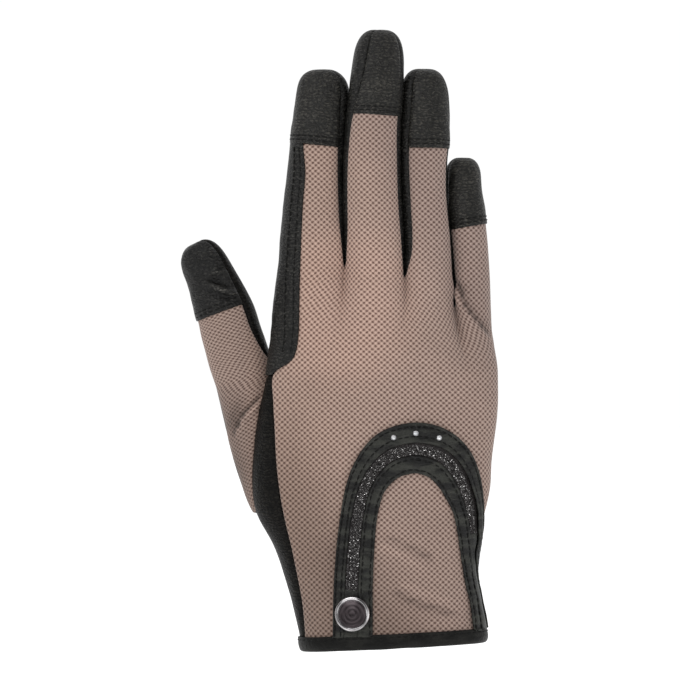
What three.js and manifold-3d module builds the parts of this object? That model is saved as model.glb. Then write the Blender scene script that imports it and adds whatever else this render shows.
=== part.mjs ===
// A right-hand riding glove as it looks on a hand: a knitted back, a leather palm, leather
// fingertip caps, side strips between the fingers, a bound hem and a horseshoe trim with a snap.
// Millimetres. The fingers point up (+Z), the back of the hand faces -Y, the thumb is on -X, and
// the origin is the middle of the wrist opening. Every panel is a hollow wall of its own.
import * as THREE from "three";
import Module from "manifold-3d";

const wasm = await Module();
wasm.setup();

// Driving sizes of the hand
const HAND_LENGTH = 137.5; // from the hem to the web beside the index finger
const HAND_WIDTH = 84; // widest, across the palm
const HAND_DEPTH = 30; // back to palm at the same height
const HEM_TILT = 0.05; // rise of the hem per millimetre towards the little finger

// Driving sizes of the fingers and the thumb
const INDEX_LENGTH = 71.5;
const INDEX_WIDTH = 21.4;
const INDEX_DEPTH = 18.5;
const INDEX_CAP = 28;
const MIDDLE_LENGTH = 87.7;
const MIDDLE_WIDTH = 20.9;
const MIDDLE_DEPTH = 18.8;
const MIDDLE_CAP = 31.4;
const RING_LENGTH = 81;
const RING_WIDTH = 18.4;
const RING_DEPTH = 17.8;
const RING_CAP = 29.2;
const LITTLE_LENGTH = 56.7;
const LITTLE_WIDTH = 13;
const LITTLE_DEPTH = 15.4;
const LITTLE_CAP = 25.5;
const THUMB_LENGTH = 110; // from deep in the hand's side to the tip
const THUMB_WIDTH = 22.4;
const THUMB_DEPTH = 19;
const THUMB_CAP = 26.3;

// Walls and gaps
const KNIT_WALL = 1.2;
const LEATHER_WALL = 1.1;
const SEAM_GAP = 0.3; // between two panels that are sewn together
const SEAT_GAP = 0.3; // between a trim and the panel under it

// The leather binding folded over the hem
const BINDING_HEIGHT = 6.3;
const BINDING_WALL = 1;

// The horseshoe trim, its glitter inlay, stones and snap
const SHOE_SPAN = 50.1; // between the middles of its two legs at the hem
const SHOE_HEIGHT = 72.3; // of the band's middle line at the top of the arch
const SHOE_BAND = 14.5;
const SHOE_OFFSET = 10.5; // from the glove's origin to the middle between the legs
const SHOE_WALL = 1;
const GLITTER_SEAT = 0.5; // between the inlay and the panel under it
const GLITTER_WALL = 0.6;
const GLITTER_FROM = 0.31; // shares of the band, from its outer edge
const GLITTER_TO = 0.65;
const STONE_DIAMETER = 2.2;
const STONE_HEIGHT = 0.9;
const STONE_INSET = 4; // from the band's outer edge
const STONE_STEP = 8; // from stone to stone
const SNAP_DIAMETER = 12.6;
const SNAP_HEIGHT = 2;
const SNAP_RIM = 1.3;
const SNAP_LEVEL = 13; // height of its middle above the hem

// How full a section is: 2 is an ellipse, more is squarer
const HAND_FULLNESS = 2.4;
const DIGIT_FULLNESS = 2.2;

// How finely the faceted walls are cut
const BACK_STEPS = 5; // across one finger's back
const SIDE_STEPS = 2; // down one side of a finger
const THUMB_STEPS = 7;
const SHOE_STEPS = 34;

// The hand, from the hem (0) to the finger webs (1).
//   left, right: shares of HAND_WIDTH from the origin to the hand's two edges
//   back, palm: shares of HAND_DEPTH from the edges' plane to the back and to the palm
//   knit: share of HAND_WIDTH from the origin to the knit's edge on the thumb's side
const HAND_SECTIONS = [
  { along: 0, left: -0.39, right: 0.394, back: 0.55, palm: 0.56, knit: -0.381 },
  { along: 0.042, left: -0.402, right: 0.395, back: 0.54, palm: 0.55, knit: -0.383 },
  { along: 0.126, left: -0.435, right: 0.369, back: 0.52, palm: 0.54, knit: -0.396 },
  { along: 0.204, left: -0.476, right: 0.349, back: 0.51, palm: 0.54, knit: -0.42 },
  { along: 0.27, left: -0.517, right: 0.364, back: 0.5, palm: 0.56, knit: -0.442 },
  { along: 0.348, left: -0.583, right: 0.39, back: 0.5, palm: 0.59, knit: -0.471 },
  { along: 0.42, left: -0.608, right: 0.415, back: 0.5, palm: 0.6, knit: -0.491 },
  { along: 0.492, left: -0.608, right: 0.426, back: 0.5, palm: 0.59, knit: -0.504 },
  { along: 0.571, left: -0.592, right: 0.439, back: 0.49, palm: 0.56, knit: -0.511 },
  { along: 0.649, left: -0.562, right: 0.45, back: 0.48, palm: 0.53, knit: -0.519 },
  { along: 0.723, left: -0.54, right: 0.45, back: 0.46, palm: 0.5, knit: -0.517 },
  { along: 0.75, left: -0.537, right: 0.446, back: 0.455, palm: 0.485, knit: -0.446 },
  { along: 0.8, left: -0.526, right: 0.435, back: 0.44, palm: 0.46, knit: -0.416 },
  { along: 0.91, left: -0.51, right: 0.423, back: 0.39, palm: 0.39, knit: -0.403 },
  { along: 1, left: -0.49, right: 0.415, back: 0.33, palm: 0.32, knit: -0.396 },
];
const SIDE_STRIP_END = 0.723; // where the index finger's side strip ends, as a share of the hand
const KNIT_EDGE = 97; // degrees from the middle of the back to the knit's far edge
const PALM_EDGE = 112; // degrees to the palm's edge on the little finger's side
const KNUCKLE_START = 0.77; // share of the hand where the fingers begin to shape it

// Each finger, from its root (0) to its tip (1).
//   wide, deep: shares of the finger's width and depth
//   lean, curl: shares of its width and depth by which it shifts to +X and to the palm
//   slant: rise of a section per millimetre towards +X
//   from, to: degrees from the middle of its back to the edges of the back panel or cap
const INDEX_SECTIONS = [
  { along: 0, wide: 1.103, deep: 1.02, lean: 0, curl: 0, slant: 0, from: -24, to: 72 },
  { along: 0.17, wide: 1.062, deep: 1, lean: 0.026, curl: 0.01, slant: 0, from: -25, to: 61 },
  { along: 0.33, wide: 0.998, deep: 0.99, lean: 0.044, curl: 0.05, slant: 0, from: -25, to: 58 },
  { along: 0.47, wide: 0.935, deep: 0.97, lean: 0.068, curl: 0.11, slant: -0.05, from: -25, to: 56 },
  { along: 0.6, wide: 0.912, deep: 0.94, lean: 0.102, curl: 0.19, slant: -0.09, from: -35, to: 52 },
  { along: 0.74, wide: 0.934, deep: 0.91, lean: 0.143, curl: 0.29, slant: -0.05, from: -37, to: 46 },
  { along: 0.87, wide: 0.93, deep: 0.87, lean: 0.183, curl: 0.4, slant: 0, from: -40, to: 45 },
  { along: 1, wide: 0.92, deep: 0.84, lean: 0.172, curl: 0.5, slant: 0, from: -44, to: 48 },
];
const MIDDLE_SECTIONS = [
  { along: 0, wide: 1.019, deep: 1.02, lean: 0, curl: 0, slant: 0, from: -72, to: 72 },
  { along: 0.15, wide: 1.014, deep: 1, lean: -0.013, curl: 0.01, slant: 0, from: -66, to: 67 },
  { along: 0.29, wide: 0.997, deep: 0.99, lean: -0.042, curl: 0.04, slant: 0, from: -64, to: 67 },
  { along: 0.45, wide: 0.97, deep: 0.97, lean: -0.05, curl: 0.1, slant: -0.03, from: -62, to: 67 },
  { along: 0.6, wide: 0.93, deep: 0.94, lean: -0.027, curl: 0.19, slant: -0.06, from: -58, to: 66 },
  { along: 0.72, wide: 0.925, deep: 0.91, lean: 0.018, curl: 0.3, slant: -0.05, from: -43, to: 66 },
  { along: 0.86, wide: 0.885, deep: 0.87, lean: 0.068, curl: 0.42, slant: -0.02, from: -32, to: 62 },
  { along: 1, wide: 0.89, deep: 0.84, lean: 0.085, curl: 0.54, slant: 0, from: -25, to: 60 },
];
const RING_SECTIONS = [
  { along: 0, wide: 0.962, deep: 1.02, lean: 0, curl: 0, slant: 0, from: -72, to: 74 },
  { along: 0.11, wide: 0.94, deep: 1, lean: -0.017, curl: 0.01, slant: 0, from: -50, to: 76 },
  { along: 0.23, wide: 0.92, deep: 0.99, lean: -0.045, curl: 0.03, slant: 0, from: -44, to: 80 },
  { along: 0.41, wide: 0.9, deep: 0.97, lean: -0.108, curl: 0.09, slant: 0, from: -41, to: 80 },
  { along: 0.56, wide: 0.93, deep: 0.95, lean: -0.125, curl: 0.17, slant: -0.02, from: -41, to: 78 },
  { along: 0.69, wide: 0.985, deep: 0.92, lean: -0.1, curl: 0.27, slant: -0.02, from: -41, to: 75 },
  { along: 0.84, wide: 0.962, deep: 0.88, lean: -0.088, curl: 0.4, slant: 0, from: -37, to: 72 },
  { along: 1, wide: 0.93, deep: 0.85, lean: -0.115, curl: 0.52, slant: 0, from: -30, to: 70 },
];
const LITTLE_SECTIONS = [
  { along: 0, wide: 1.008, deep: 1.03, lean: 0, curl: 0, slant: 0, from: -76, to: 86 },
  { along: 0.13, wide: 1.01, deep: 1.01, lean: -0.024, curl: 0.01, slant: 0.04, from: -72, to: 88 },
  { along: 0.28, wide: 1.02, deep: 1, lean: -0.064, curl: 0.04, slant: 0.12, from: -70, to: 90 },
  { along: 0.46, wide: 1.045, deep: 0.98, lean: -0.132, curl: 0.1, slant: 0.2, from: -66, to: 90 },
  { along: 0.63, wide: 1.055, deep: 0.95, lean: -0.21, curl: 0.2, slant: 0.14, from: -64, to: 90 },
  { along: 0.78, wide: 1.04, deep: 0.91, lean: -0.262, curl: 0.32, slant: 0.05, from: -62, to: 90 },
  { along: 1, wide: 0.99, deep: 0.86, lean: -0.265, curl: 0.5, slant: 0, from: -62, to: 90 },
];

// root: how far the root lies below the hand's length; set: towards the palm, a share of
// HAND_DEPTH; round: length of the rounded tip
const FINGERS = [
  {
    name: "index",
    length: INDEX_LENGTH,
    width: INDEX_WIDTH,
    depth: INDEX_DEPTH,
    cap: INDEX_CAP,
    round: 15.5,
    root: 0,
    set: 0.11,
    sections: INDEX_SECTIONS,
  },
  {
    name: "middle",
    length: MIDDLE_LENGTH,
    width: MIDDLE_WIDTH,
    depth: MIDDLE_DEPTH,
    cap: MIDDLE_CAP,
    round: 18,
    root: 2,
    set: 0,
    sections: MIDDLE_SECTIONS,
  },
  {
    name: "ring",
    length: RING_LENGTH,
    width: RING_WIDTH,
    depth: RING_DEPTH,
    cap: RING_CAP,
    round: 14.5,
    root: 9.3,
    set: 0.1,
    sections: RING_SECTIONS,
  },
  {
    name: "little",
    length: LITTLE_LENGTH,
    width: LITTLE_WIDTH,
    depth: LITTLE_DEPTH,
    cap: LITTLE_CAP,
    round: 10,
    root: 17.1,
    set: 0.24,
    sections: LITTLE_SECTIONS,
  },
];
const WEB_DROPS = [0, 3.9, 14.7]; // how far the three webs lie below the hand's length
const WEB_SADDLE = 1.5; // how far a web sags between the back and the palm
const ROOT_FADE = 0.28; // share of a finger over which its root takes the web's shape
const TIP_FULLNESS = 3.1;
const TIP_WRAP = 0.9; // share of the rounded tip where the cap closes round it
const SIDE_EDGE = 125; // degrees from the middle of the back to the palm panel's edge
const FINGER_SPREAD = 0.35; // clear space between neighbouring fingers at their roots

// The thumb, from deep in the hand's side (0) to its tip (1).
//   out, up, in: shares of THUMB_LENGTH to -X, to +Z and to the palm, from its base
//   wide, deep: shares of its width and depth
//   from, to: degrees from the middle of its back to the knit's edges
const THUMB_SECTIONS = [
  { along: 0, out: 0, up: 0, in: 0, wide: 0.5, deep: 0.4, from: -100, to: -60 },
  { along: 0.124, out: 0.042, up: 0.115, in: 0.02, wide: 0.9, deep: 0.78, from: -100, to: -44 },
  { along: 0.263, out: 0.087, up: 0.245, in: 0.045, wide: 0.965, deep: 0.95, from: -100, to: -12 },
  { along: 0.425, out: 0.125, up: 0.403, in: 0.065, wide: 0.975, deep: 1, from: -100, to: 25 },
  { along: 0.515, out: 0.145, up: 0.491, in: 0.073, wide: 0.975, deep: 0.99, from: -100, to: 56 },
  { along: 0.586, out: 0.164, up: 0.56, in: 0.08, wide: 0.97, deep: 0.98, from: -100, to: 66 },
  { along: 0.757, out: 0.213, up: 0.724, in: 0.088, wide: 0.9, deep: 0.9, from: -98, to: 62 },
  { along: 0.892, out: 0.264, up: 0.852, in: 0.088, wide: 0.77, deep: 0.8, from: -96, to: 58 },
  { along: 1, out: 0.311, up: 0.953, in: 0.085, wide: 0.7, deep: 0.7, from: -96, to: 55 },
];
const THUMB_BASE_LEVEL = 0.3; // share of the hand's length where the thumb's base lies
const THUMB_BASE_INSET = 8; // from the hand's edge to the base's middle
const THUMB_SET = 0.07; // base towards the palm, a share of HAND_DEPTH
const THUMB_ROUND = 12;

// The horseshoe's middle line, from the snap's leg over the arch to the far leg.
//   across, up: shares of SHOE_SPAN and SHOE_HEIGHT; band: share of SHOE_BAND
const SHOE_SECTIONS = [
  { along: 0, across: -0.5, up: 0.09, band: 1.01 },
  { along: 0.118, across: -0.494, up: 0.339, band: 0.97 },
  { along: 0.212, across: -0.476, up: 0.538, band: 0.94 },
  { along: 0.284, across: -0.45, up: 0.687, band: 0.92 },
  { along: 0.346, across: -0.404, up: 0.816, band: 0.97 },
  { along: 0.396, across: -0.326, up: 0.907, band: 1.1 },
  { along: 0.442, across: -0.221, up: 0.971, band: 1.23 },
  { along: 0.496, across: -0.063, up: 1, band: 1.27 },
  { along: 0.537, across: 0.061, up: 0.986, band: 1.28 },
  { along: 0.575, across: 0.161, up: 0.946, band: 1.24 },
  { along: 0.613, across: 0.235, up: 0.884, band: 1.17 },
  { along: 0.653, across: 0.29, up: 0.806, band: 1.06 },
  { along: 0.71, across: 0.345, up: 0.692, band: 0.89 },
  { along: 0.786, across: 0.39, up: 0.533, band: 0.87 },
  { along: 0.856, across: 0.43, up: 0.387, band: 0.87 },
  { along: 0.93, across: 0.482, up: 0.235, band: 0.87 },
  { along: 1, across: 0.513, up: 0.09, band: 0.89 },
];
const GLITTER_START = 0.09; // along the horseshoe, just above the snap
const GLITTER_END = 0.79;
const SHOE_TOP = 0.5; // along the horseshoe, where the middle stone sits

// Colours of the real materials
const KNIT = { color: 0x97826f, roughness: 0.85, metalness: 0 };
const LEATHER = { color: 0x2b2a28, roughness: 0.6, metalness: 0 };
const GLITTER = { color: 0x3a3634, roughness: 0.35, metalness: 0.4 };
const STEEL = { color: 0xb9b6b4, roughness: 0.22, metalness: 1 };
const CRYSTAL = { color: 0xe6e8ea, roughness: 0.08, metalness: 0 };

const DEGREE = Math.PI / 180;
const mix = (a, b, t) => a + (b - a) * t;
const ease = (t) => {
  const c = Math.min(1, Math.max(0, t));
  return c * c * (3 - 2 * c);
};

// A table's row at any place along it, with every column eased through its neighbours.
function sectionAt(table, place) {
  const row = (i) => table[Math.min(Math.max(i, 0), table.length - 1)];
  const before = table.findLastIndex((r) => r.along <= place);
  const i = Math.min(Math.max(before, 0), table.length - 2);
  const span = row(i + 1).along - row(i).along;
  const t = Math.min(1, Math.max(0, (place - row(i).along) / span));
  const made = {};
  for (const column of Object.keys(table[0])) {
    const slope = (k) =>
      (row(k + 1)[column] - row(k - 1)[column]) / (row(k + 1).along - row(k - 1).along);
    made[column] =
      row(i)[column] * (1 + 2 * t) * (1 - t) ** 2 +
      row(i + 1)[column] * t * t * (3 - 2 * t) +
      span * (slope(i) * t * (1 - t) ** 2 - slope(i + 1) * t * t * (1 - t));
  }
  return made;
}

// A point of a rounded section: angle 0 is the middle of the back, +90 the +X side.
function onSection(angle, half, back, palm, fullness) {
  const [x, y] = [Math.sin(angle * DEGREE), Math.cos(angle * DEGREE)];
  const reach = (Math.abs(x) ** fullness + Math.abs(y) ** fullness) ** (1 / fullness);
  return [(half * x) / reach, (-(y > 0 ? back : palm) * y) / reach];
}

// The hand's outer surface at a height, before the fingers shape it.
function handPoint(z, angle, grow = 0) {
  const s = sectionAt(HAND_SECTIONS, z / HAND_LENGTH);
  const half = ((s.right - s.left) / 2) * HAND_WIDTH + grow;
  const [x, y] = onSection(
    angle,
    half,
    s.back * HAND_DEPTH + grow,
    s.palm * HAND_DEPTH + grow,
    HAND_FULLNESS,
  );
  return new THREE.Vector3(((s.left + s.right) / 2) * HAND_WIDTH + x, y, z);
}

const hemAt = (x) => HEM_TILT * x;

// The fingers stand side by side from the hand's edge on, each as wide as its own root.
let rootEdge = HAND_SECTIONS.at(-1).left * HAND_WIDTH;
for (const finger of FINGERS) {
  const rootWidth = finger.sections[0].wide * finger.width;
  finger.x = rootEdge + rootWidth / 2;
  finger.z = HAND_LENGTH - finger.root;
  finger.y = finger.set * HAND_DEPTH;
  rootEdge += rootWidth + FINGER_SPREAD;
}

// How wide a rounded tip still is, at a share of its own length.
const domeShare = (t) =>
  (1 - Math.min(1, Math.max(0, t)) ** TIP_FULLNESS) ** (1 / TIP_FULLNESS);

// A finger's outer surface as a plain tube.
function tubePoint(finger, along, angle, grow = 0) {
  const s = sectionAt(finger.sections, along);
  const dome = domeShare((along - 1) * (finger.length / finger.round) + 1);
  const half = (finger.depth / 2) * s.deep * dome + grow;
  const [x, y] = onSection(
    angle,
    (finger.width / 2) * s.wide * dome + grow,
    half,
    half,
    DIGIT_FULLNESS,
  );
  return new THREE.Vector3(
    finger.x + s.lean * finger.width + x,
    finger.y + s.curl * finger.depth + y,
    finger.z + along * finger.length + s.slant * x,
  );
}

// Going once round a finger has four stretches: 0 back, 1 the +X side, 2 palm, 3 the -X side.
function angleAt(finger, along, stretch, share) {
  const s = sectionAt(finger.sections, along);
  const stops = [s.from, s.to, SIDE_EDGE, 360 - SIDE_EDGE, 360 + s.from];
  if (finger.name === "little") stops[2] = PALM_EDGE;
  return mix(stops[stretch], stops[stretch + 1], share);
}

// The web between a finger and its +X neighbour: on the back (0), between (0.5) and palm (1).
function webPoint(left, share) {
  const [a, b] = [FINGERS[left], FINGERS[left + 1]];
  const pa = tubePoint(a, 0, angleAt(a, 0, 1, share));
  const pb = tubePoint(b, 0, angleAt(b, 0, 3, 1 - share));
  const middle = pa.add(pb).multiplyScalar(0.5);
  middle.z = HAND_LENGTH - WEB_DROPS[left] - WEB_SADDLE * Math.sin(share * Math.PI);
  return middle;
}

// By how much the root moves from the plain tube to the web on one of its sides.
function webShift(finger, left, stretch, share) {
  if (left < 0 || left > FINGERS.length - 2) return new THREE.Vector3();
  const tube = tubePoint(finger, 0, angleAt(finger, 0, stretch, share));
  return webPoint(left, stretch === 1 ? share : 1 - share).sub(tube);
}

// A finger's outer surface with its root drawn into the webs beside it.
function fingerPoint(number, along, stretch, share) {
  const finger = FINGERS[number];
  const point = tubePoint(finger, along, angleAt(finger, along, stretch, share));
  const fade = 1 - ease(along / ROOT_FADE);
  if (fade === 0) return point;
  const shifts = {
    0: () => webShift(finger, number - 1, 3, 1).lerp(webShift(finger, number, 1, 0), share),
    1: () => webShift(finger, number, 1, share),
    2: () => webShift(finger, number, 1, 1).lerp(webShift(finger, number - 1, 3, 0), share),
    3: () => webShift(finger, number - 1, 3, share),
  };
  return point.addScaledVector(shifts[stretch](), fade);
}

// How far along the four roots a place lies on their backs (0) or palms (2), as a share.
const LITTLE = FINGERS.length - 1;
const RUN_STEPS = 20;
const rootRuns = {};
for (const stretch of [0, 2]) {
  const run = [0];
  const at = (k) => {
    const number = Math.min(LITTLE, Math.floor(k / RUN_STEPS));
    const share = k / RUN_STEPS - number;
    return fingerPoint(stretch ? LITTLE - number : number, 0, stretch, share);
  };
  for (let k = 1; k <= FINGERS.length * RUN_STEPS; k++)
    run.push(run[k - 1] + at(k).distanceTo(at(k - 1)));
  rootRuns[stretch] = run;
}
function rootShare(number, stretch, share) {
  const run = rootRuns[stretch];
  const place = ((stretch ? LITTLE - number : number) + share) * RUN_STEPS;
  const k = Math.min(Math.floor(place), run.length - 2);
  return mix(run[k], run[k + 1], place - k) / run.at(-1);
}

// The angle at which a share of the way from one angle to another on the hand is covered.
function angleAlong(z, first, last, share) {
  const steps = 30;
  const run = [0];
  for (let k = 1; k <= steps; k++) {
    const [a, b] = [k - 1, k].map((n) => handPoint(z, mix(first, last, n / steps)));
    run.push(run[k - 1] + a.distanceTo(b));
  }
  const goal = share * run.at(-1);
  const k = Math.max(
    1,
    run.findIndex((length) => length >= goal - 1e-9),
  );
  return mix(first, last, (k - 1 + (goal - run[k - 1]) / (run[k] - run[k - 1])) / steps);
}

// Where the knit ends on the hand's thumb side at a height, in degrees.
function knitEdge(z) {
  const s = sectionAt(HAND_SECTIONS, z / HAND_LENGTH);
  const out = Math.min(0.999, ((s.left + s.right) / 2 - s.knit) / ((s.right - s.left) / 2));
  return -Math.atan2(out, (1 - out ** HAND_FULLNESS) ** (1 / HAND_FULLNESS)) / DEGREE;
}

function handAngle(number, stretch, share, z) {
  const edge = knitEdge(z);
  if (stretch === 0) return angleAlong(z, edge, KNIT_EDGE, rootShare(number, 0, share));
  if (stretch === 1) return angleAlong(z, KNIT_EDGE, PALM_EDGE, share);
  if (stretch === 3) return angleAlong(z, 360 - PALM_EDGE, 360 + edge, share);
  return angleAlong(z, PALM_EDGE, 360 - PALM_EDGE, rootShare(number, 2, share));
}

// The hand's outer surface under one of the finger roots; up is 0 at the hem and 1 at the webs.
const panelHem = BINDING_WALL + SEAT_GAP;
function palmPoint(number, up, stretch, share) {
  const root = fingerPoint(number, 0, stretch, share);
  const z = mix(hemAt(root.x) + panelHem, root.z, up);
  const shift = root.clone().sub(handPoint(root.z, handAngle(number, stretch, share, root.z)));
  const knuckle = ease((up - KNUCKLE_START) / (1 - KNUCKLE_START));
  return handPoint(z, handAngle(number, stretch, share, z)).addScaledVector(shift, knuckle);
}

// A skin of four-sided faces, each with the name of the panel that it belongs to.
class Skin {
  points = [];
  faces = [];
  known = new Map();

  vertex(p) {
    const key = p
      .toArray()
      .map((c) => Math.round(c * 1000))
      .join();
    if (!this.known.has(key)) {
      this.known.set(key, this.points.length);
      this.points.push(p);
    }
    return this.known.get(key);
  }

  // Faces over a net of points: place(i, j) with i across and j up, label(i, j) per face.
  net(across, up, place, label) {
    const ids = [];
    for (let j = 0; j <= up; j++) {
      ids.push([]);
      for (let i = 0; i <= across; i++) ids[j].push(this.vertex(place(i, j)));
    }
    for (let j = 0; j < up; j++)
      for (let i = 0; i < across; i++) {
        const ring = [ids[j][i], ids[j][i + 1], ids[j + 1][i + 1], ids[j + 1][i]];
        const corners = ring.filter((id, k) => id !== ring[(k + 1) % 4]);
        if (corners.length > 2) this.faces.push({ corners, label: label(i, j) });
      }
  }

  middle(face) {
    const sum = new THREE.Vector3();
    for (const id of face.corners) sum.add(this.points[id]);
    return sum.divideScalar(face.corners.length);
  }

  // Outward directions at every point.
  normals() {
    const sums = this.points.map(() => new THREE.Vector3());
    for (const { corners } of this.faces) {
      const [a, b, c] = corners.map((id) => this.points[id]);
      const d = this.points[corners.at(-1)];
      const facing = c.clone().sub(a).cross(d.clone().sub(b));
      if (corners.length === 3) facing.copy(b.clone().sub(a).cross(c.clone().sub(a)));
      for (const id of corners) sums[id].add(facing);
    }
    return sums.map((n) => n.normalize());
  }

  // A panel's faces as a closed wall, drawn back from its seams by half a seam gap. The wall
  // reaches from `outside` beyond the skin to `inside` below it.
  wall(name, inside, outside = 0) {
    const faces = this.faces.filter((face) => face.label === name);
    const edges = new Map();
    for (const { corners } of faces)
      corners.forEach((a, k) => {
        const b = corners[(k + 1) % corners.length];
        if (edges.has(b + "," + a)) edges.delete(b + "," + a);
        else edges.set(a + "," + b, [a, b]);
      });
    const normals = this.normals();
    const inward = new Map();
    for (const [a, b] of edges.values()) {
      const ahead = this.points[b].clone().sub(this.points[a]).normalize();
      for (const id of [a, b]) {
        const step = normals[id].clone().cross(ahead).normalize();
        inward.set(id, (inward.get(id) ?? new THREE.Vector3()).add(step));
      }
    }
    const used = [...new Set(faces.flatMap((face) => face.corners))];
    const outer = new Map(used.map((id, k) => [id, k]));
    const count = used.length;
    const vertices = [];
    for (const lift of [outside, -inside])
      for (const id of used) {
        const p = this.points[id].clone().addScaledVector(normals[id], lift);
        const step = inward.get(id);
        if (step) p.addScaledVector(step, SEAM_GAP / Math.max(0.12, step.lengthSq()));
        vertices.push(...p.toArray());
      }
    const triangles = [];
    const fan = (ids) => {
      for (let k = 1; k < ids.length - 1; k++) triangles.push(ids[0], ids[k], ids[k + 1]);
    };
    for (const { corners } of faces) {
      const ids = corners.map((id) => outer.get(id));
      fan(ids);
      fan(ids.map((id) => id + count).reverse());
    }
    for (const [a, b] of edges.values()) {
      const [p, q] = [outer.get(a), outer.get(b)];
      if (a < b) fan([q, p, p + count, q + count]);
      else fan([p, p + count, q + count, q]);
    }
    return solid(vertices, triangles);
  }
}

function solid(vertices, triangles) {
  return new wasm.Manifold(
    new wasm.Mesh({
      numProp: 3,
      vertProperties: new Float32Array(vertices),
      triVerts: new Uint32Array(triangles),
    }),
  );
}

// A closed body through rings of points, each ring going once round and all of one length.
function loft(rings) {
  const size = rings[0].length;
  const vertices = rings.flat().flatMap((p) => p.toArray());
  const triangles = [];
  for (let j = 0; j < rings.length - 1; j++)
    for (let i = 0; i < size; i++) {
      const [a, b] = [j * size + i, j * size + ((i + 1) % size)];
      triangles.push(a, b, b + size, a, b + size, a + size);
    }
  for (const [ring, last] of [
    [0, false],
    [rings.length - 1, true],
  ]) {
    const hub = new THREE.Vector3();
    for (const p of rings[ring]) hub.addScaledVector(p, 1 / size);
    vertices.push(...hub.toArray());
    const id = vertices.length / 3 - 1;
    for (let i = 0; i < size; i++) {
      const [a, b] = [ring * size + i, ring * size + ((i + 1) % size)];
      triangles.push(...(last ? [a, b, id] : [b, a, id]));
    }
  }
  return solid(vertices, triangles);
}

const glove = new THREE.Group();
function add(name, body, finish) {
  const mesh = body.getMesh();
  const geometry = new THREE.BufferGeometry();
  geometry.setAttribute("position", new THREE.BufferAttribute(mesh.vertProperties, 3));
  geometry.setIndex(new THREE.BufferAttribute(mesh.triVerts, 1));
  geometry.computeVertexNormals();
  const piece = new THREE.Mesh(geometry, new THREE.MeshStandardMaterial(finish));
  piece.name = name;
  glove.add(piece);
}

// The hand and its four fingers as one skin
const skin = new Skin();
const HAND_ROWS = [
  0, 0.06, 0.13, 0.205, 0.28, 0.355, 0.43, 0.51, 0.59, 0.66, 0.723, 0.75, 0.8, 0.86, 0.93, 1,
];
const handLabel = { 0: "back_panel", 1: "back_panel", 2: "palm_panel" };
FINGERS.forEach((finger, number) => {
  const stretches = [0, 2];
  if (number === 0) stretches.push(3);
  if (number === FINGERS.length - 1) stretches.push(1);
  for (const stretch of stretches) {
    const steps = stretch % 2 ? SIDE_STEPS : BACK_STEPS;
    skin.net(
      steps,
      HAND_ROWS.length - 1,
      (i, j) => palmPoint(number, HAND_ROWS[j], stretch, i / steps),
      (i, j) =>
        handLabel[stretch] ?? (HAND_ROWS[j] < SIDE_STRIP_END ? "palm_panel" : "index_side_strip"),
    );
  }
});

// Places along a digit for its rows of faces: up to the cap, along the cap, round the tip.
function digitRows(length, cap, round, bodyRows) {
  const capStart = 1 - cap / length;
  const domeStart = 1 - round / length;
  const rows = [];
  for (let k = 0; k < bodyRows; k++) rows.push((capStart * k) / bodyRows);
  rows.push(capStart, mix(capStart, domeStart, 0.5), domeStart);
  for (const t of [0.38, 0.66, TIP_WRAP, 1]) rows.push(mix(domeStart, 1, t));
  return { rows, capStart, wrapStart: mix(domeStart, 1, TIP_WRAP) };
}

FINGERS.forEach((finger, number) => {
  const bodyRows = finger.name === "little" ? 4 : 6;
  const { rows, capStart, wrapStart } = digitRows(
    finger.length,
    finger.cap,
    finger.round,
    bodyRows,
  );
  const last = FINGERS.length - 1;
  const between = (left) => FINGERS[left].name + "_" + FINGERS[left + 1].name + "_side";
  const cap = finger.name + "_cap";
  for (const stretch of [0, 1, 2, 3]) {
    const steps = stretch % 2 ? SIDE_STEPS : BACK_STEPS;
    const label = (i, j) => {
      const capped = rows[j] > capStart - 1e-6;
      if (rows[j] > wrapStart - 1e-6) return cap;
      if (stretch === 0) return capped ? cap : "back_panel";
      if (stretch === 2) return "palm_panel";
      if (stretch === 1 && number < last) return between(number);
      if (stretch === 3 && number > 0) return between(number - 1);
      if (capped) return cap;
      return stretch === 1 ? "back_panel" : "index_side_strip";
    };
    skin.net(
      steps,
      rows.length - 1,
      (i, j) => fingerPoint(number, rows[j], stretch, i / steps),
      label,
    );
  }
});

// The thumb as a tube of its own, with sections square to its middle line
const thumbEdge = sectionAt(HAND_SECTIONS, THUMB_BASE_LEVEL).left * HAND_WIDTH;
const thumbBase = new THREE.Vector3(
  thumbEdge + THUMB_BASE_INSET,
  THUMB_SET * HAND_DEPTH,
  THUMB_BASE_LEVEL * HAND_LENGTH,
);
function thumbMiddle(along) {
  const s = sectionAt(THUMB_SECTIONS, along);
  return new THREE.Vector3(-s.out, s.in, s.up).multiplyScalar(THUMB_LENGTH).add(thumbBase);
}
function thumbPoint(along, angle, grow = 0) {
  const s = sectionAt(THUMB_SECTIONS, along);
  const dome = domeShare((along - 1) * (THUMB_LENGTH / THUMB_ROUND) + 1);
  const half = (THUMB_DEPTH / 2) * s.deep * dome + grow;
  const wide = (THUMB_WIDTH / 2) * s.wide * dome + grow;
  const [x, y] = onSection(angle, wide, half, half, DIGIT_FULLNESS);
  const step = 0.02;
  const [low, high] = [Math.max(0, along - step), Math.min(1, along + step)];
  const ahead = thumbMiddle(high).sub(thumbMiddle(low)).normalize();
  const side = new THREE.Vector3(0, 1, 0).cross(ahead).normalize();
  const front = ahead.clone().cross(side).normalize();
  return thumbMiddle(along).addScaledVector(side, x).addScaledVector(front, y);
}
const thumbSkin = new Skin();
const thumbRows = digitRows(THUMB_LENGTH, THUMB_CAP, THUMB_ROUND, 8);
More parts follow.
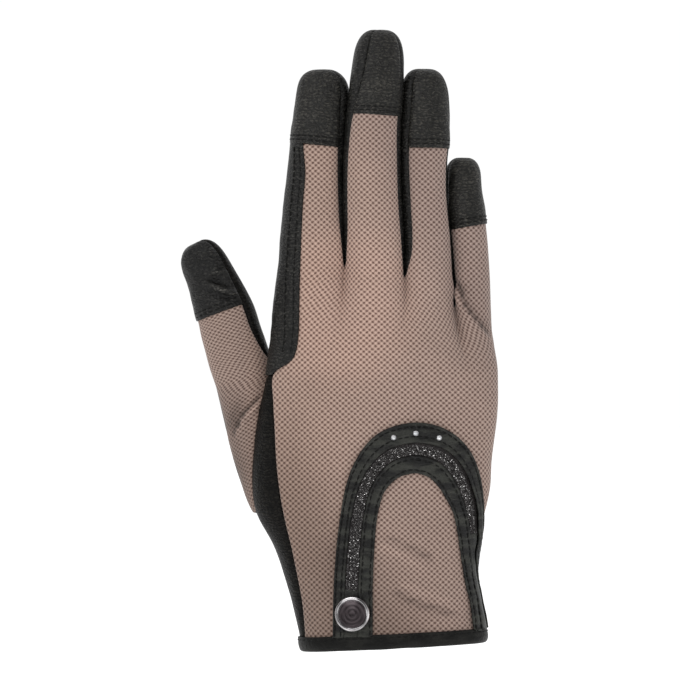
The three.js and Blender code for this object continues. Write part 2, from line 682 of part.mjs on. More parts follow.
for (const stretch of [0, 1])
  thumbSkin.net(
    THUMB_STEPS,
    thumbRows.rows.length - 1,
    (i, j) => {
      const s = sectionAt(THUMB_SECTIONS, thumbRows.rows[j]);
      const stops = [s.from, s.to, s.from + 360];
      return thumbPoint(
        thumbRows.rows[j],
        mix(stops[stretch], stops[stretch + 1], i / THUMB_STEPS),
      );
    },
    (i, j) => {
      if (thumbRows.rows[j] > thumbRows.wrapStart - 1e-6) return "thumb_cap";
      if (stretch === 1) return "thumb_palm";
      return thumbRows.rows[j] > thumbRows.capStart - 1e-6 ? "thumb_cap" : "thumb_back";
    },
  );

// What the thumb's walls stop at, and the way through from the hand into the thumb
const RING_STEPS = 36;
const aroundRing = (place) =>
  Array.from({ length: RING_STEPS }, (_, i) => place((i * 360) / RING_STEPS - 180));
const handBody = loft(
  HAND_ROWS.map((row) =>
    aroundRing((angle) => handPoint(row * HAND_LENGTH, angle, SEAM_GAP)),
  ),
);
const thumbHollow = loft(
  [0, 0.1, 0.2, 0.3, 0.4, 0.5, 0.6, 0.7].map((along) =>
    aroundRing((angle) => thumbPoint(along, angle, -LEATHER_WALL)),
  ),
);

add("back_panel", skin.wall("back_panel", KNIT_WALL).subtract(thumbHollow), KNIT);
add("palm_panel", skin.wall("palm_panel", LEATHER_WALL).subtract(thumbHollow), LEATHER);
add("index_side_strip", skin.wall("index_side_strip", LEATHER_WALL), LEATHER);
for (let left = 0; left < FINGERS.length - 1; left++) {
  const name = FINGERS[left].name + "_" + FINGERS[left + 1].name + "_side";
  add(name, skin.wall(name, LEATHER_WALL), LEATHER);
}
for (const finger of FINGERS)
  add(finger.name + "_cap", skin.wall(finger.name + "_cap", LEATHER_WALL), LEATHER);
add("thumb_back", thumbSkin.wall("thumb_back", KNIT_WALL).subtract(handBody), KNIT);
add("thumb_palm", thumbSkin.wall("thumb_palm", LEATHER_WALL).subtract(handBody), LEATHER);
add("thumb_cap", thumbSkin.wall("thumb_cap", LEATHER_WALL), LEATHER);

// The binding, a strip folded over the panels' lower edge
const panelWall = Math.max(KNIT_WALL, LEATHER_WALL);
const foldOut = SEAT_GAP + BINDING_WALL;
const foldIn = -panelWall - SEAT_GAP;
const bindingProfile = [
  { out: foldOut, up: BINDING_WALL },
  { out: foldOut, up: BINDING_HEIGHT },
  { out: SEAT_GAP, up: BINDING_HEIGHT },
  { out: SEAT_GAP, up: BINDING_WALL },
  { out: foldIn, up: BINDING_WALL },
  { out: foldIn, up: BINDING_HEIGHT - 1 },
  { out: foldIn - BINDING_WALL, up: BINDING_HEIGHT - 1 },
  { out: foldIn - BINDING_WALL, up: BINDING_WALL },
  { out: -panelWall, up: 0 },
  { out: 0, up: 0 },
];
const hemPlaces = [];
const hemOrder = [
  ...FINGERS.map((_, number) => [number, 0]),
  [LITTLE, 1],
  ...FINGERS.map((_, number) => [LITTLE - number, 2]),
  [0, 3],
];
for (const [number, stretch] of hemOrder) {
  const steps = stretch % 2 ? SIDE_STEPS : BACK_STEPS;
  for (let i = 0; i < steps; i++) hemPlaces.push([number, stretch, i / steps]);
}
const bindingRing = (profile) =>
  hemPlaces.map(([number, stretch, share]) => {
    const start = handPoint(0, handAngle(number, stretch, share, 0));
    const z = profile.up + hemAt(start.x);
    return handPoint(z, handAngle(number, stretch, share, z), profile.out);
  });
const rings = bindingProfile.map(bindingRing);
const bindingSkin = new Skin();
bindingSkin.net(
  hemPlaces.length,
  rings.length,
  (i, j) => rings[j % rings.length][i % hemPlaces.length],
  () => "binding",
);
const bindingTriangles = bindingSkin.faces.flatMap(({ corners: [a, b, c, d] }) => [
  a,
  b,
  c,
  a,
  c,
  d,
]);
add(
  "hem_binding",
  solid(
    bindingSkin.points.flatMap((p) => p.toArray()),
    bindingTriangles,
  ),
  LEATHER,
);

// The back's surface laid flat: x runs round the hand from its middle, z is the height.
const WALK_STEP = 2;
function backPoint(x, z) {
  const walk = x < 0 ? -WALK_STEP : WALK_STEP;
  const s = sectionAt(HAND_SECTIONS, z / HAND_LENGTH);
  const start = -(s.left + s.right) / (s.right - s.left);
  let angle = Math.atan2(start, (1 - Math.abs(start) ** HAND_FULLNESS) ** (1 / HAND_FULLNESS));
  angle /= DEGREE;
  let here = handPoint(z, angle);
  let rest = Math.abs(x);
  for (;;) {
    const next = handPoint(z, angle + walk);
    const length = next.distanceTo(here);
    if (length >= rest) return here.lerp(next, rest / length);
    rest -= length;
    here = next;
    angle += walk;
  }
}
function backNormal(x, z) {
  const reach = 0.6;
  const across = backPoint(x + reach, z).sub(backPoint(x - reach, z));
  const up = backPoint(x, z + reach).sub(backPoint(x, z - reach));
  return across.cross(up).normalize();
}

// A point of the horseshoe: share 0 is the band's outer edge and 1 its inner edge.
function shoeFlat(along, share) {
  const s = sectionAt(SHOE_SECTIONS, along);
  const flat = (row) =>
    new THREE.Vector2(row.across * SHOE_SPAN + SHOE_OFFSET, row.up * SHOE_HEIGHT);
  const [low, high] = [Math.max(0, along - 0.01), Math.min(1, along + 0.01)];
  const ahead = flat(sectionAt(SHOE_SECTIONS, high)).sub(flat(sectionAt(SHOE_SECTIONS, low)));
  const inward = new THREE.Vector2(ahead.y, -ahead.x).normalize();
  const level = BINDING_HEIGHT + SEAT_GAP;
  const point = flat(s).addScaledVector(inward, (share - 0.5) * SHOE_BAND * s.band);
  const foot = hemAt(point.x) + level;
  const lift = 1 - ease(Math.min(along, 1 - along) / 0.07);
  point.y = Math.max(foot, mix(point.y, foot, lift));
  return point;
}
function onBack(flat, lift) {
  return backPoint(flat.x, flat.y).addScaledVector(backNormal(flat.x, flat.y), lift);
}

const shoeSkin = new Skin();
const shoeStops = [0, GLITTER_FROM, GLITTER_TO, 1];
const shoeShares = [0, 0.33, 0.67, 1, 1.25, 1.5, 1.75, 2, 2.33, 2.67, 3].map((k) =>
  mix(shoeStops[Math.floor(k)], shoeStops[Math.min(3, Math.floor(k) + 1)], k % 1),
);
const shoeRows = Array.from({ length: SHOE_STEPS + 1 }, (_, j) => j / SHOE_STEPS);
shoeSkin.net(
  shoeShares.length - 1,
  SHOE_STEPS,
  (i, j) => onBack(shoeFlat(shoeRows[j], shoeShares[i]), SEAT_GAP),
  (i, j) => {
    const inlay = shoeRows[j] > GLITTER_START && shoeRows[j + 1] < GLITTER_END;
    return i > 2 && i < 7 && inlay ? "glitter_inlay" : "horseshoe_trim";
  },
);
add("horseshoe_trim", shoeSkin.wall("horseshoe_trim", 0, SHOE_WALL), LEATHER);
const inlayLift = GLITTER_SEAT - SEAT_GAP;
const inlay = shoeSkin.wall("glitter_inlay", -inlayLift, inlayLift + GLITTER_WALL);
add("glitter_inlay", inlay, GLITTER);

// Turned pieces stand on the trim with their own axis square to it.
function turned(name, profile, segments, flat, finish) {
  const seat = onBack(flat, 2 * SEAT_GAP + SHOE_WALL);
  const geometry = new THREE.LatheGeometry(
    profile.map(([r, h]) => new THREE.Vector2(r, h)),
    segments,
  );
  const piece = new THREE.Mesh(geometry, new THREE.MeshStandardMaterial(finish));
  piece.name = name;
  piece.position.copy(seat);
  piece.quaternion.setFromUnitVectors(new THREE.Vector3(0, 1, 0), backNormal(flat.x, flat.y));
  glove.add(piece);
}

const stoneRadius = STONE_DIAMETER / 2;
const stoneProfile = [
  [0, 0],
  [stoneRadius, 0],
  [stoneRadius, STONE_HEIGHT * 0.25],
  [stoneRadius * 0.82, STONE_HEIGHT * 0.62],
  [stoneRadius * 0.55, STONE_HEIGHT],
  [0, STONE_HEIGHT],
];
["stone_thumb_side", "stone_middle", "stone_little_side"].forEach((name, k) => {
  const arch = sectionAt(SHOE_SECTIONS, SHOE_TOP);
  const perUnit = shoeFlat(SHOE_TOP + 0.02, 0).distanceTo(shoeFlat(SHOE_TOP - 0.02, 0)) / 0.04;
  const place = shoeFlat(
    SHOE_TOP + ((k - 1) * STONE_STEP) / perUnit,
    STONE_INSET / (SHOE_BAND * arch.band),
  );
  turned(name, stoneProfile, 10, place, CRYSTAL);
});

const snapRadius = SNAP_DIAMETER / 2;
const snapProfile = [
  [0, 0],
  [snapRadius - 0.4, 0],
  [snapRadius, 0.5],
  [snapRadius, SNAP_HEIGHT - 0.7],
  [snapRadius - 0.5, SNAP_HEIGHT],
  [snapRadius - SNAP_RIM, SNAP_HEIGHT],
  [snapRadius - SNAP_RIM - 0.5, SNAP_HEIGHT - 0.6],
  [0, SNAP_HEIGHT - 0.4],
];
const snapPlace = shoeFlat(0.04, 0.5).setY(SNAP_LEVEL);
turned("snap_cap", snapProfile, 28, snapPlace, STEEL);

export default glove;
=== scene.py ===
import math
import random
from functools import lru_cache

import bmesh
import bpy
from mathutils import Matrix, Vector, kdtree, noise
from mathutils.bvhtree import BVHTree


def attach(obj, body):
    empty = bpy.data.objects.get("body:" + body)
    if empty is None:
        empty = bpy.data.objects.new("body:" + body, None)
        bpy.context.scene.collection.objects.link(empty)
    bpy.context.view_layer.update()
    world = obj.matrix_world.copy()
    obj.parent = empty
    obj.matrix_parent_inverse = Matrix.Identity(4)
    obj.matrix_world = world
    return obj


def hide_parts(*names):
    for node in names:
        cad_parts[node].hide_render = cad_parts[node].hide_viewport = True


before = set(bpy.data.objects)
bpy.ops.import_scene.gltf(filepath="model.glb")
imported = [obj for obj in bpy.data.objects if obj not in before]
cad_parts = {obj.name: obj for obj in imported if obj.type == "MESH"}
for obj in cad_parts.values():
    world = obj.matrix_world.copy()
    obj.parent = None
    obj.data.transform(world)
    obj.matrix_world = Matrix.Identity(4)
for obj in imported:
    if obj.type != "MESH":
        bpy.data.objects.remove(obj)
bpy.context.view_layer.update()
MM = 0.001  # sizes below are in millimetres, meshes in metres

# Sizes of the hand, the fingers and the trim, as in the solids
HAND_LENGTH = 137.5
HAND_WIDTH = 84
HAND_DEPTH = 30
HEM_TILT = 0.05
HAND_FULLNESS = 2.4
DIGIT_FULLNESS = 2.2
TIP_FULLNESS = 3.1
KNIT_EDGE = 97
PALM_EDGE = 112
SIDE_EDGE = 125
SIDE_STRIP_END = 0.723
KNUCKLE_START = 0.77
WEB_DROPS = (0, 3.9, 14.7)
WEB_SADDLE = 1.5
ROOT_FADE = 0.28
FINGER_SPREAD = 0.35
PANEL_HEM = 1.3
BINDING_HEIGHT = 6.3
THUMB_LENGTH = 110
THUMB_WIDTH = 22.4
THUMB_DEPTH = 19
THUMB_CAP = 26.3
THUMB_ROUND = 12
THUMB_BASE = (0.3, 8, 0.07)
SHOE_SPAN = 50.1
SHOE_HEIGHT = 72.3
SHOE_BAND = 14.5
SHOE_OFFSET = 10.5
SHOE_TOP = 0.5
SNAP_LEVEL = 13
SNAP_RADIUS = 6.3
KNIT_WALL = 1.1
PALM_WALL = 1.0
LEATHER_WALL = 0.9
TRIM_WALL = 0.7
BACKING_WALL = 0.4
CAP_LIFT = 0.6
STRIP_LIFT = 0.5
KNIT_LAP = 2.4  # how far the knit runs on under a cap
STRIP_LAP = 2.2  # and the index finger's side strip
STRIP_OVERLAP = 0.05  # the share of the finger's back that the side strip covers
FLAP_DEPTH = 1.0  # of the edges turned in at the seams
FLAP_CROSSING = 0.35
HOLES_ACROSS, HOLES_UP = 2.12, 1.94  # from one hole of the knit to the next
STITCH_ROWS = (1.5, 3.0)  # above a cap's lower edge
STITCH_SHARE = 0.8  # of its pitch
STITCH_RADIUS = 0.26
FLAKES = 5200

# The photo: its side in pixels, the size of one, and the pixel of the frame's origin
PHOTO_SIDE = 680
PIXEL = 0.36
ORIGIN_PIXEL = (393, 648)


def table(columns, *rows):
    """Rows of named columns."""
    return [dict(zip(columns.split(), row)) for row in rows]


TABLES = {
    "hand": table(
        "along left right back palm knit",
        (0, -0.39, 0.394, 0.55, 0.56, -0.381),
        (0.042, -0.402, 0.395, 0.54, 0.55, -0.383),
        (0.126, -0.435, 0.369, 0.52, 0.54, -0.396),
        (0.204, -0.476, 0.349, 0.51, 0.54, -0.42),
        (0.27, -0.517, 0.364, 0.5, 0.56, -0.442),
        (0.348, -0.583, 0.39, 0.5, 0.59, -0.471),
        (0.42, -0.608, 0.415, 0.5, 0.6, -0.491),
        (0.492, -0.608, 0.426, 0.5, 0.59, -0.504),
        (0.571, -0.592, 0.439, 0.49, 0.56, -0.511),
        (0.649, -0.562, 0.45, 0.48, 0.53, -0.519),
        (0.723, -0.54, 0.45, 0.46, 0.5, -0.517),
        (0.75, -0.537, 0.446, 0.455, 0.485, -0.446),
        (0.8, -0.526, 0.435, 0.44, 0.46, -0.416),
        (0.91, -0.51, 0.423, 0.39, 0.39, -0.403),
        (1, -0.49, 0.415, 0.33, 0.32, -0.396),
    ),
    "index": table(
        "along wide deep lean curl slant from to",
        (0, 1.103, 1.02, 0, 0, 0, -24, 72),
        (0.17, 1.062, 1, 0.026, 0.01, 0, -25, 61),
        (0.33, 0.998, 0.99, 0.044, 0.05, 0, -25, 58),
        (0.47, 0.935, 0.97, 0.068, 0.11, -0.05, -25, 56),
        (0.6, 0.912, 0.94, 0.102, 0.19, -0.09, -35, 52),
        (0.74, 0.934, 0.91, 0.143, 0.29, -0.05, -37, 46),
        (0.87, 0.93, 0.87, 0.183, 0.4, 0, -40, 45),
        (1, 0.92, 0.84, 0.172, 0.5, 0, -44, 48),
    ),
    "middle": table(
        "along wide deep lean curl slant from to",
        (0, 1.019, 1.02, 0, 0, 0, -72, 72),
        (0.15, 1.014, 1, -0.013, 0.01, 0, -66, 67),
        (0.29, 0.997, 0.99, -0.042, 0.04, 0, -64, 67),
        (0.45, 0.97, 0.97, -0.05, 0.1, -0.03, -62, 67),
        (0.6, 0.93, 0.94, -0.027, 0.19, -0.06, -58, 66),
        (0.72, 0.925, 0.91, 0.018, 0.3, -0.05, -43, 66),
        (0.86, 0.885, 0.87, 0.068, 0.42, -0.02, -32, 62),
        (1, 0.89, 0.84, 0.085, 0.54, 0, -25, 60),
    ),
    "ring": table(
        "along wide deep lean curl slant from to",
        (0, 0.962, 1.02, 0, 0, 0, -72, 74),
        (0.11, 0.94, 1, -0.017, 0.01, 0, -50, 76),
        (0.23, 0.92, 0.99, -0.045, 0.03, 0, -44, 80),
        (0.41, 0.9, 0.97, -0.108, 0.09, 0, -41, 80),
        (0.56, 0.93, 0.95, -0.125, 0.17, -0.02, -41, 78),
        (0.69, 0.985, 0.92, -0.1, 0.27, -0.02, -41, 75),
        (0.84, 0.962, 0.88, -0.088, 0.4, 0, -37, 72),
        (1, 0.93, 0.85, -0.115, 0.52, 0, -30, 70),
    ),
    "little": table(
        "along wide deep lean curl slant from to",
        (0, 1.008, 1.03, 0, 0, 0, -76, 86),
        (0.13, 1.01, 1.01, -0.024, 0.01, 0.04, -72, 88),
        (0.28, 1.02, 1, -0.064, 0.04, 0.12, -70, 90),
        (0.46, 1.045, 0.98, -0.132, 0.1, 0.2, -66, 90),
        (0.63, 1.055, 0.95, -0.21, 0.2, 0.14, -64, 90),
        (0.78, 1.04, 0.91, -0.262, 0.32, 0.05, -62, 90),
        (1, 0.99, 0.86, -0.265, 0.5, 0, -62, 90),
    ),
    "thumb": table(
        "along out up in wide deep from to",
        (0, 0, 0, 0, 0.5, 0.4, -100, -60),
        (0.124, 0.042, 0.115, 0.02, 0.9, 0.78, -100, -44),
        (0.263, 0.087, 0.245, 0.045, 0.965, 0.95, -100, -12),
        (0.425, 0.125, 0.403, 0.065, 0.975, 1, -100, 25),
        (0.485, 0.138, 0.462, 0.07, 0.98, 0.99, -100, 45),
        (0.53, 0.147, 0.505, 0.074, 0.99, 0.99, -100, 88),
        (0.6, 0.163, 0.573, 0.081, 1, 0.97, -100, 56),
        (0.68, 0.186, 0.65, 0.085, 0.972, 0.934, -99, 43),
        (0.757, 0.208, 0.724, 0.088, 0.945, 0.9, -98, 41),
        (0.892, 0.262, 0.852, 0.088, 0.79, 0.8, -96, 45),
        (1, 0.311, 0.953, 0.085, 0.7, 0.7, -96, 50),
    ),
    "shoe": table(
        "along across up band",
        (0, -0.5, 0.09, 1.01),
        (0.118, -0.494, 0.339, 0.97),
        (0.212, -0.476, 0.538, 0.94),
        (0.284, -0.45, 0.687, 0.92),
        (0.346, -0.404, 0.816, 0.97),
        (0.396, -0.326, 0.907, 1.1),
        (0.442, -0.221, 0.971, 1.23),
        (0.496, -0.063, 1, 1.27),
        (0.537, 0.061, 0.986, 1.28),
        (0.575, 0.161, 0.946, 1.24),
        (0.613, 0.235, 0.884, 1.17),
        (0.653, 0.29, 0.806, 1.06),
        (0.71, 0.345, 0.692, 0.89),
        (0.786, 0.39, 0.533, 0.87),
        (0.856, 0.43, 0.387, 0.87),
        (0.93, 0.482, 0.235, 0.87),
        (1, 0.513, 0.09, 0.89),
    ),
}

FINGERS = table(
    "name length width depth cap round root set",
    ("index", 71.5, 21.4, 18.5, 28, 15.5, 0, 0.11),
    ("middle", 87.7, 20.9, 18.8, 31.4, 18, 2, 0),
    ("ring", 81, 18.4, 17.8, 29.2, 14.5, 9.3, 0.1),
    ("little", 56.7, 13, 15.4, 25.5, 10, 17.1, 0.24),
)
INDEX, LITTLE = 0, 3
BACK, RIGHT_SIDE, PALM, LEFT_SIDE = range(4)  # the four stretches once round a finger


def clamp(t):
    return min(1.0, max(0.0, t))


def mix(a, b, t):
    return a + (b - a) * t


def ease(t):
    t = clamp(t)
    return t * t * (3 - 2 * t)


def even(first, last, steps):
    return [mix(first, last, k / steps) for k in range(steps + 1)]


def lengths(points):
    """Lengths along a line of points, from its start."""
    run = [0.0]
    for a, b in zip(points, points[1:]):
        run.append(run[-1] + (b - a).length)
    return run


@lru_cache(maxsize=None)
def section(name, place):
    """A table's row at any place along it, eased through its neighbours."""
    rows = TABLES[name]
    i = sum(row["along"] <= place for row in rows) - 1
    i = max(0, min(len(rows) - 2, i))
    before, low, high, after = (rows[max(0, min(len(rows) - 1, k))] for k in range(i - 1, i + 3))
    span = high["along"] - low["along"]
    t = clamp((place - low["along"]) / span)
    made = {}
    for column in low:
        down = (high[column] - before[column]) / (high["along"] - before["along"])
        up = (after[column] - low[column]) / (after["along"] - low["along"])
        made[column] = (
            low[column] * (1 + 2 * t) * (1 - t) ** 2
            + high[column] * t * t * (3 - 2 * t)
            + span * (down * t * (1 - t) ** 2 - up * t * t * (1 - t))
        )
    return made


# The glove's surface

def on_section(angle, half, back, palm, fullness):
    """A point of a rounded section: angle 0 is the middle of the back, 90 the +X side."""
    x, y = math.sin(math.radians(angle)), math.cos(math.radians(angle))
    reach = (abs(x) ** fullness + abs(y) ** fullness) ** (1 / fullness)
    return half * x / reach, -(back if y > 0 else palm) * y / reach


def hand_point(z, angle, grow=0.0):
    s = section("hand", z / HAND_LENGTH)
    half = (s["right"] - s["left"]) / 2 * HAND_WIDTH + grow
    back, palm = s["back"] * HAND_DEPTH + grow, s["palm"] * HAND_DEPTH + grow
    x, y = on_section(angle, half, back, palm, HAND_FULLNESS)
    return Vector(((s["left"] + s["right"]) / 2 * HAND_WIDTH + x, y, z))


def hem_at(x):
    return HEM_TILT * x


def place_fingers():
    edge = TABLES["hand"][-1]["left"] * HAND_WIDTH
    for finger in FINGERS:
        root_width = TABLES[finger["name"]][0]["wide"] * finger["width"]
        finger["x"] = edge + root_width / 2
        finger["z"] = HAND_LENGTH - finger["root"]
        finger["y"] = finger["set"] * HAND_DEPTH
        edge += root_width + FINGER_SPREAD


def dome_share(t):
    return (1 - clamp(t) ** TIP_FULLNESS) ** (1 / TIP_FULLNESS)


def tube_point(finger, along, angle):
    """A finger's surface as a plain tube."""
    s = section(finger["name"], along)
    dome = dome_share((along - 1) * (finger["length"] / finger["round"]) + 1)
    half = finger["depth"] / 2 * s["deep"] * dome
    wide = finger["width"] / 2 * s["wide"] * dome
    x, y = on_section(angle, wide, half, half, DIGIT_FULLNESS)
    return Vector((
        finger["x"] + s["lean"] * finger["width"] + x,
        finger["y"] + s["curl"] * finger["depth"] + y,
        finger["z"] + along * finger["length"] + s["slant"] * x,
    ))


def angle_at(finger, along, stretch, share):
    s = section(finger["name"], along)
    far = PALM_EDGE if finger["name"] == "little" else SIDE_EDGE
    stops = (s["from"], s["to"], far, 360 - SIDE_EDGE, 360 + s["from"])
    return mix(stops[stretch], stops[stretch + 1], share)


def web_point(left, share):
    """The web beside a finger's +X side, from the back (0) to the palm (1)."""
    a, b = FINGERS[left], FINGERS[left + 1]
    middle = (tube_point(a, 0, angle_at(a, 0, RIGHT_SIDE, share))
              + tube_point(b, 0, angle_at(b, 0, LEFT_SIDE, 1 - share))) / 2
    middle.z = HAND_LENGTH - WEB_DROPS[left] - WEB_SADDLE * math.sin(share * math.pi)
    return middle


@lru_cache(maxsize=None)
def web_shift(number, left, stretch, share):
    if left < 0 or left > LITTLE - 1:
        return Vector()
    finger = FINGERS[number]
    tube = tube_point(finger, 0, angle_at(finger, 0, stretch, share))
    return web_point(left, share if stretch == RIGHT_SIDE else 1 - share) - tube


def finger_point(number, along, stretch, share):
    """A finger's surface with its root drawn into the webs beside it."""
    finger = FINGERS[number]
    point = tube_point(finger, along, angle_at(finger, along, stretch, share))
    fade = 1 - ease(along / ROOT_FADE)
    if fade == 0:
        return point
    if stretch == BACK:
        shift = web_shift(number, number - 1, LEFT_SIDE, 1).lerp(
            web_shift(number, number, RIGHT_SIDE, 0), share)
    elif stretch == PALM:
        shift = web_shift(number, number, RIGHT_SIDE, 1).lerp(
            web_shift(number, number - 1, LEFT_SIDE, 0), share)
    else:
        left = number if stretch == RIGHT_SIDE else number - 1
        shift = web_shift(number, left, stretch, share)
    return point + shift * fade


RUN_STEPS = 20


@lru_cache(maxsize=None)
def root_run(stretch):
    """Lengths along the four roots, over their backs or their palms."""
    def at(k):
        number = min(LITTLE, k // RUN_STEPS)
        finger = LITTLE - number if stretch == PALM else number
        return finger_point(finger, 0, stretch, k / RUN_STEPS - number)
    return lengths([at(k) for k in range(4 * RUN_STEPS + 1)])


def root_share(number, stretch, share):
    run = root_run(stretch)
    place = ((LITTLE - number if stretch == PALM else number) + share) * RUN_STEPS
    k = min(int(place), len(run) - 2)
    return mix(run[k], run[k + 1], place - k) / run[-1]


def angle_along(z, first, last, share):
    """The angle at which a share of the way from one angle to another is covered."""
    steps = 24
    run = lengths([hand_point(z, angle) for angle in even(first, last, steps)])
    goal = share * run[-1]
    k = next((k for k in range(1, steps + 1) if run[k] >= goal - 1e-9), steps)
    return mix(first, last, (k - 1 + (goal - run[k - 1]) / (run[k] - run[k - 1])) / steps)


def angle_of(share):
    """The angle on the hand's back at a share of its half width."""
    rise = (1 - abs(share) ** HAND_FULLNESS) ** (1 / HAND_FULLNESS)
    return math.degrees(math.atan2(share, rise))


def knit_edge(z):
    """Where the knit ends on the hand's thumb side, in degrees."""
    s = section("hand", z / HAND_LENGTH)
    out = ((s["left"] + s["right"]) / 2 - s["knit"]) / ((s["right"] - s["left"]) / 2)
    return -angle_of(min(0.999, out))


def hand_angle(number, stretch, share, z):
    edge = knit_edge(z)
    if stretch == BACK:
        return angle_along(z, edge, KNIT_EDGE, root_share(number, BACK, share))
    if stretch == RIGHT_SIDE:
        return angle_along(z, KNIT_EDGE, PALM_EDGE, share)
    if stretch == LEFT_SIDE:
        return angle_along(z, 360 - PALM_EDGE, 360 + edge, share)
    return angle_along(z, PALM_EDGE, 360 - PALM_EDGE, root_share(number, PALM, share))


@lru_cache(maxsize=None)
def root_shift(number, stretch, share):
    root = finger_point(number, 0, stretch, share)
    return root, root - hand_point(root.z, hand_angle(number, stretch, share, root.z))


def palm_point(number, up, stretch, share):
    """The hand's surface under one finger's root, from the hem (0) to the webs (1)."""
    root, shift = root_shift(number, stretch, share)
    z = mix(hem_at(root.x) + PANEL_HEM, root.z, up)
    knuckle = ease((up - KNUCKLE_START) / (1 - KNUCKLE_START))
    return hand_point(z, hand_angle(number, stretch, share, z)) + shift * knuckle


def thumb_base():
    level, inset, deep = THUMB_BASE
    edge = section("hand", level)["left"] * HAND_WIDTH
    return Vector((edge + inset, deep * HAND_DEPTH, level * HAND_LENGTH))


def thumb_middle(along):
    s = section("thumb", along)
    return thumb_base() + Vector((-s["out"], s["in"], s["up"])) * THUMB_LENGTH


def thumb_point(along, angle):
    s = section("thumb", along)
    dome = dome_share((along - 1) * (THUMB_LENGTH / THUMB_ROUND) + 1)
    half = THUMB_DEPTH / 2 * s["deep"] * dome
    x, y = on_section(angle, THUMB_WIDTH / 2 * s["wide"] * dome, half, half, DIGIT_FULLNESS)
    ahead = thumb_middle(min(1, along + 0.02)) - thumb_middle(max(0, along - 0.02))
    ahead.normalize()
    side = Vector((0, 1, 0)).cross(ahead).normalized()
    return thumb_middle(along) + side * x + ahead.cross(side).normalized() * y


def back_point(x, z):
    """The back's surface laid flat: x runs round the hand from its middle."""
    s = section("hand", z / HAND_LENGTH)
    angle = angle_of(-(s["left"] + s["right"]) / (s["right"] - s["left"]))
    step = math.copysign(2, x)
    here, rest = hand_point(z, angle), abs(x)
    while True:
        ahead = hand_point(z, angle + step)
        length = (ahead - here).length
        if length >= rest:
            return here.lerp(ahead, rest / length)
        rest -= length
        here = ahead
        angle += step


def back_normal(x, z):
    across = back_point(x + 1.2, z) - back_point(x - 1.2, z)
    up = back_point(x, z + 1.2) - back_point(x, z - 1.2)
    return across.cross(up).normalized()


def on_back(flat, lift):
    return back_point(*flat) + back_normal(*flat) * lift


def facing(out):
    """The turn that brings +Z to a direction."""
    return out.to_track_quat("Z", "Y").to_matrix().to_4x4()


def stand_on_back(flat, lift):
    return Matrix.Translation(on_back(flat, lift) * MM) @ facing(back_normal(*flat))


def shoe_flat(along, share):
    """A place on the horseshoe: share 0 is the band's outer edge and 1 its inner edge."""
    def flat(place):
        row = section("shoe", clamp(place))
        return Vector((row["across"] * SHOE_SPAN + SHOE_OFFSET, row["up"] * SHOE_HEIGHT))
    ahead = flat(along + 0.01) - flat(along - 0.01)
    inward = Vector((ahead.y, -ahead.x)).normalized()
    band = SHOE_BAND * section("shoe", along)["band"]
    point = flat(along) + inward * (share - 0.5) * band
    foot = hem_at(point.x) + BINDING_HEIGHT - 0.8
    lift = 1 - ease(min(along, 1 - along) / 0.07)
    point.y = max(foot, mix(point.y, foot, lift))
    return point


place_fingers()


# Shader nodes

class Socket:
    """A node's output or a number, on which Python's own signs add Math nodes."""

    def __init__(self, shader, value):
        self.shader = shader
        self.value = value

    def maths(self, operation, *others):
        values = [self.value, *(getattr(o, "value", o) for o in others)]
        return self.shader.node("ShaderNodeMath", {"operation": operation},
                                dict(enumerate(values)))

    def __add__(self, other):
        return self.maths("ADD", other)

    def __sub__(self, other):
        return self.maths("SUBTRACT", other)

    def __mul__(self, other):
        return self.maths("MULTIPLY", other)

    def __rsub__(self, other):
        return Socket(self.shader, other).maths("SUBTRACT", self)

    __radd__ = __add__
    __rmul__ = __mul__

    def cosine(self):
        return self.maths("COSINE")

    def rise(self, low, high):
        """0 below low, 1 above high, smooth between."""
        return self.shader.node(
            "ShaderNodeMapRange", {"interpolation_type": "SMOOTHSTEP"},
            {"Value": self.value, "From Min": low, "From Max": high})


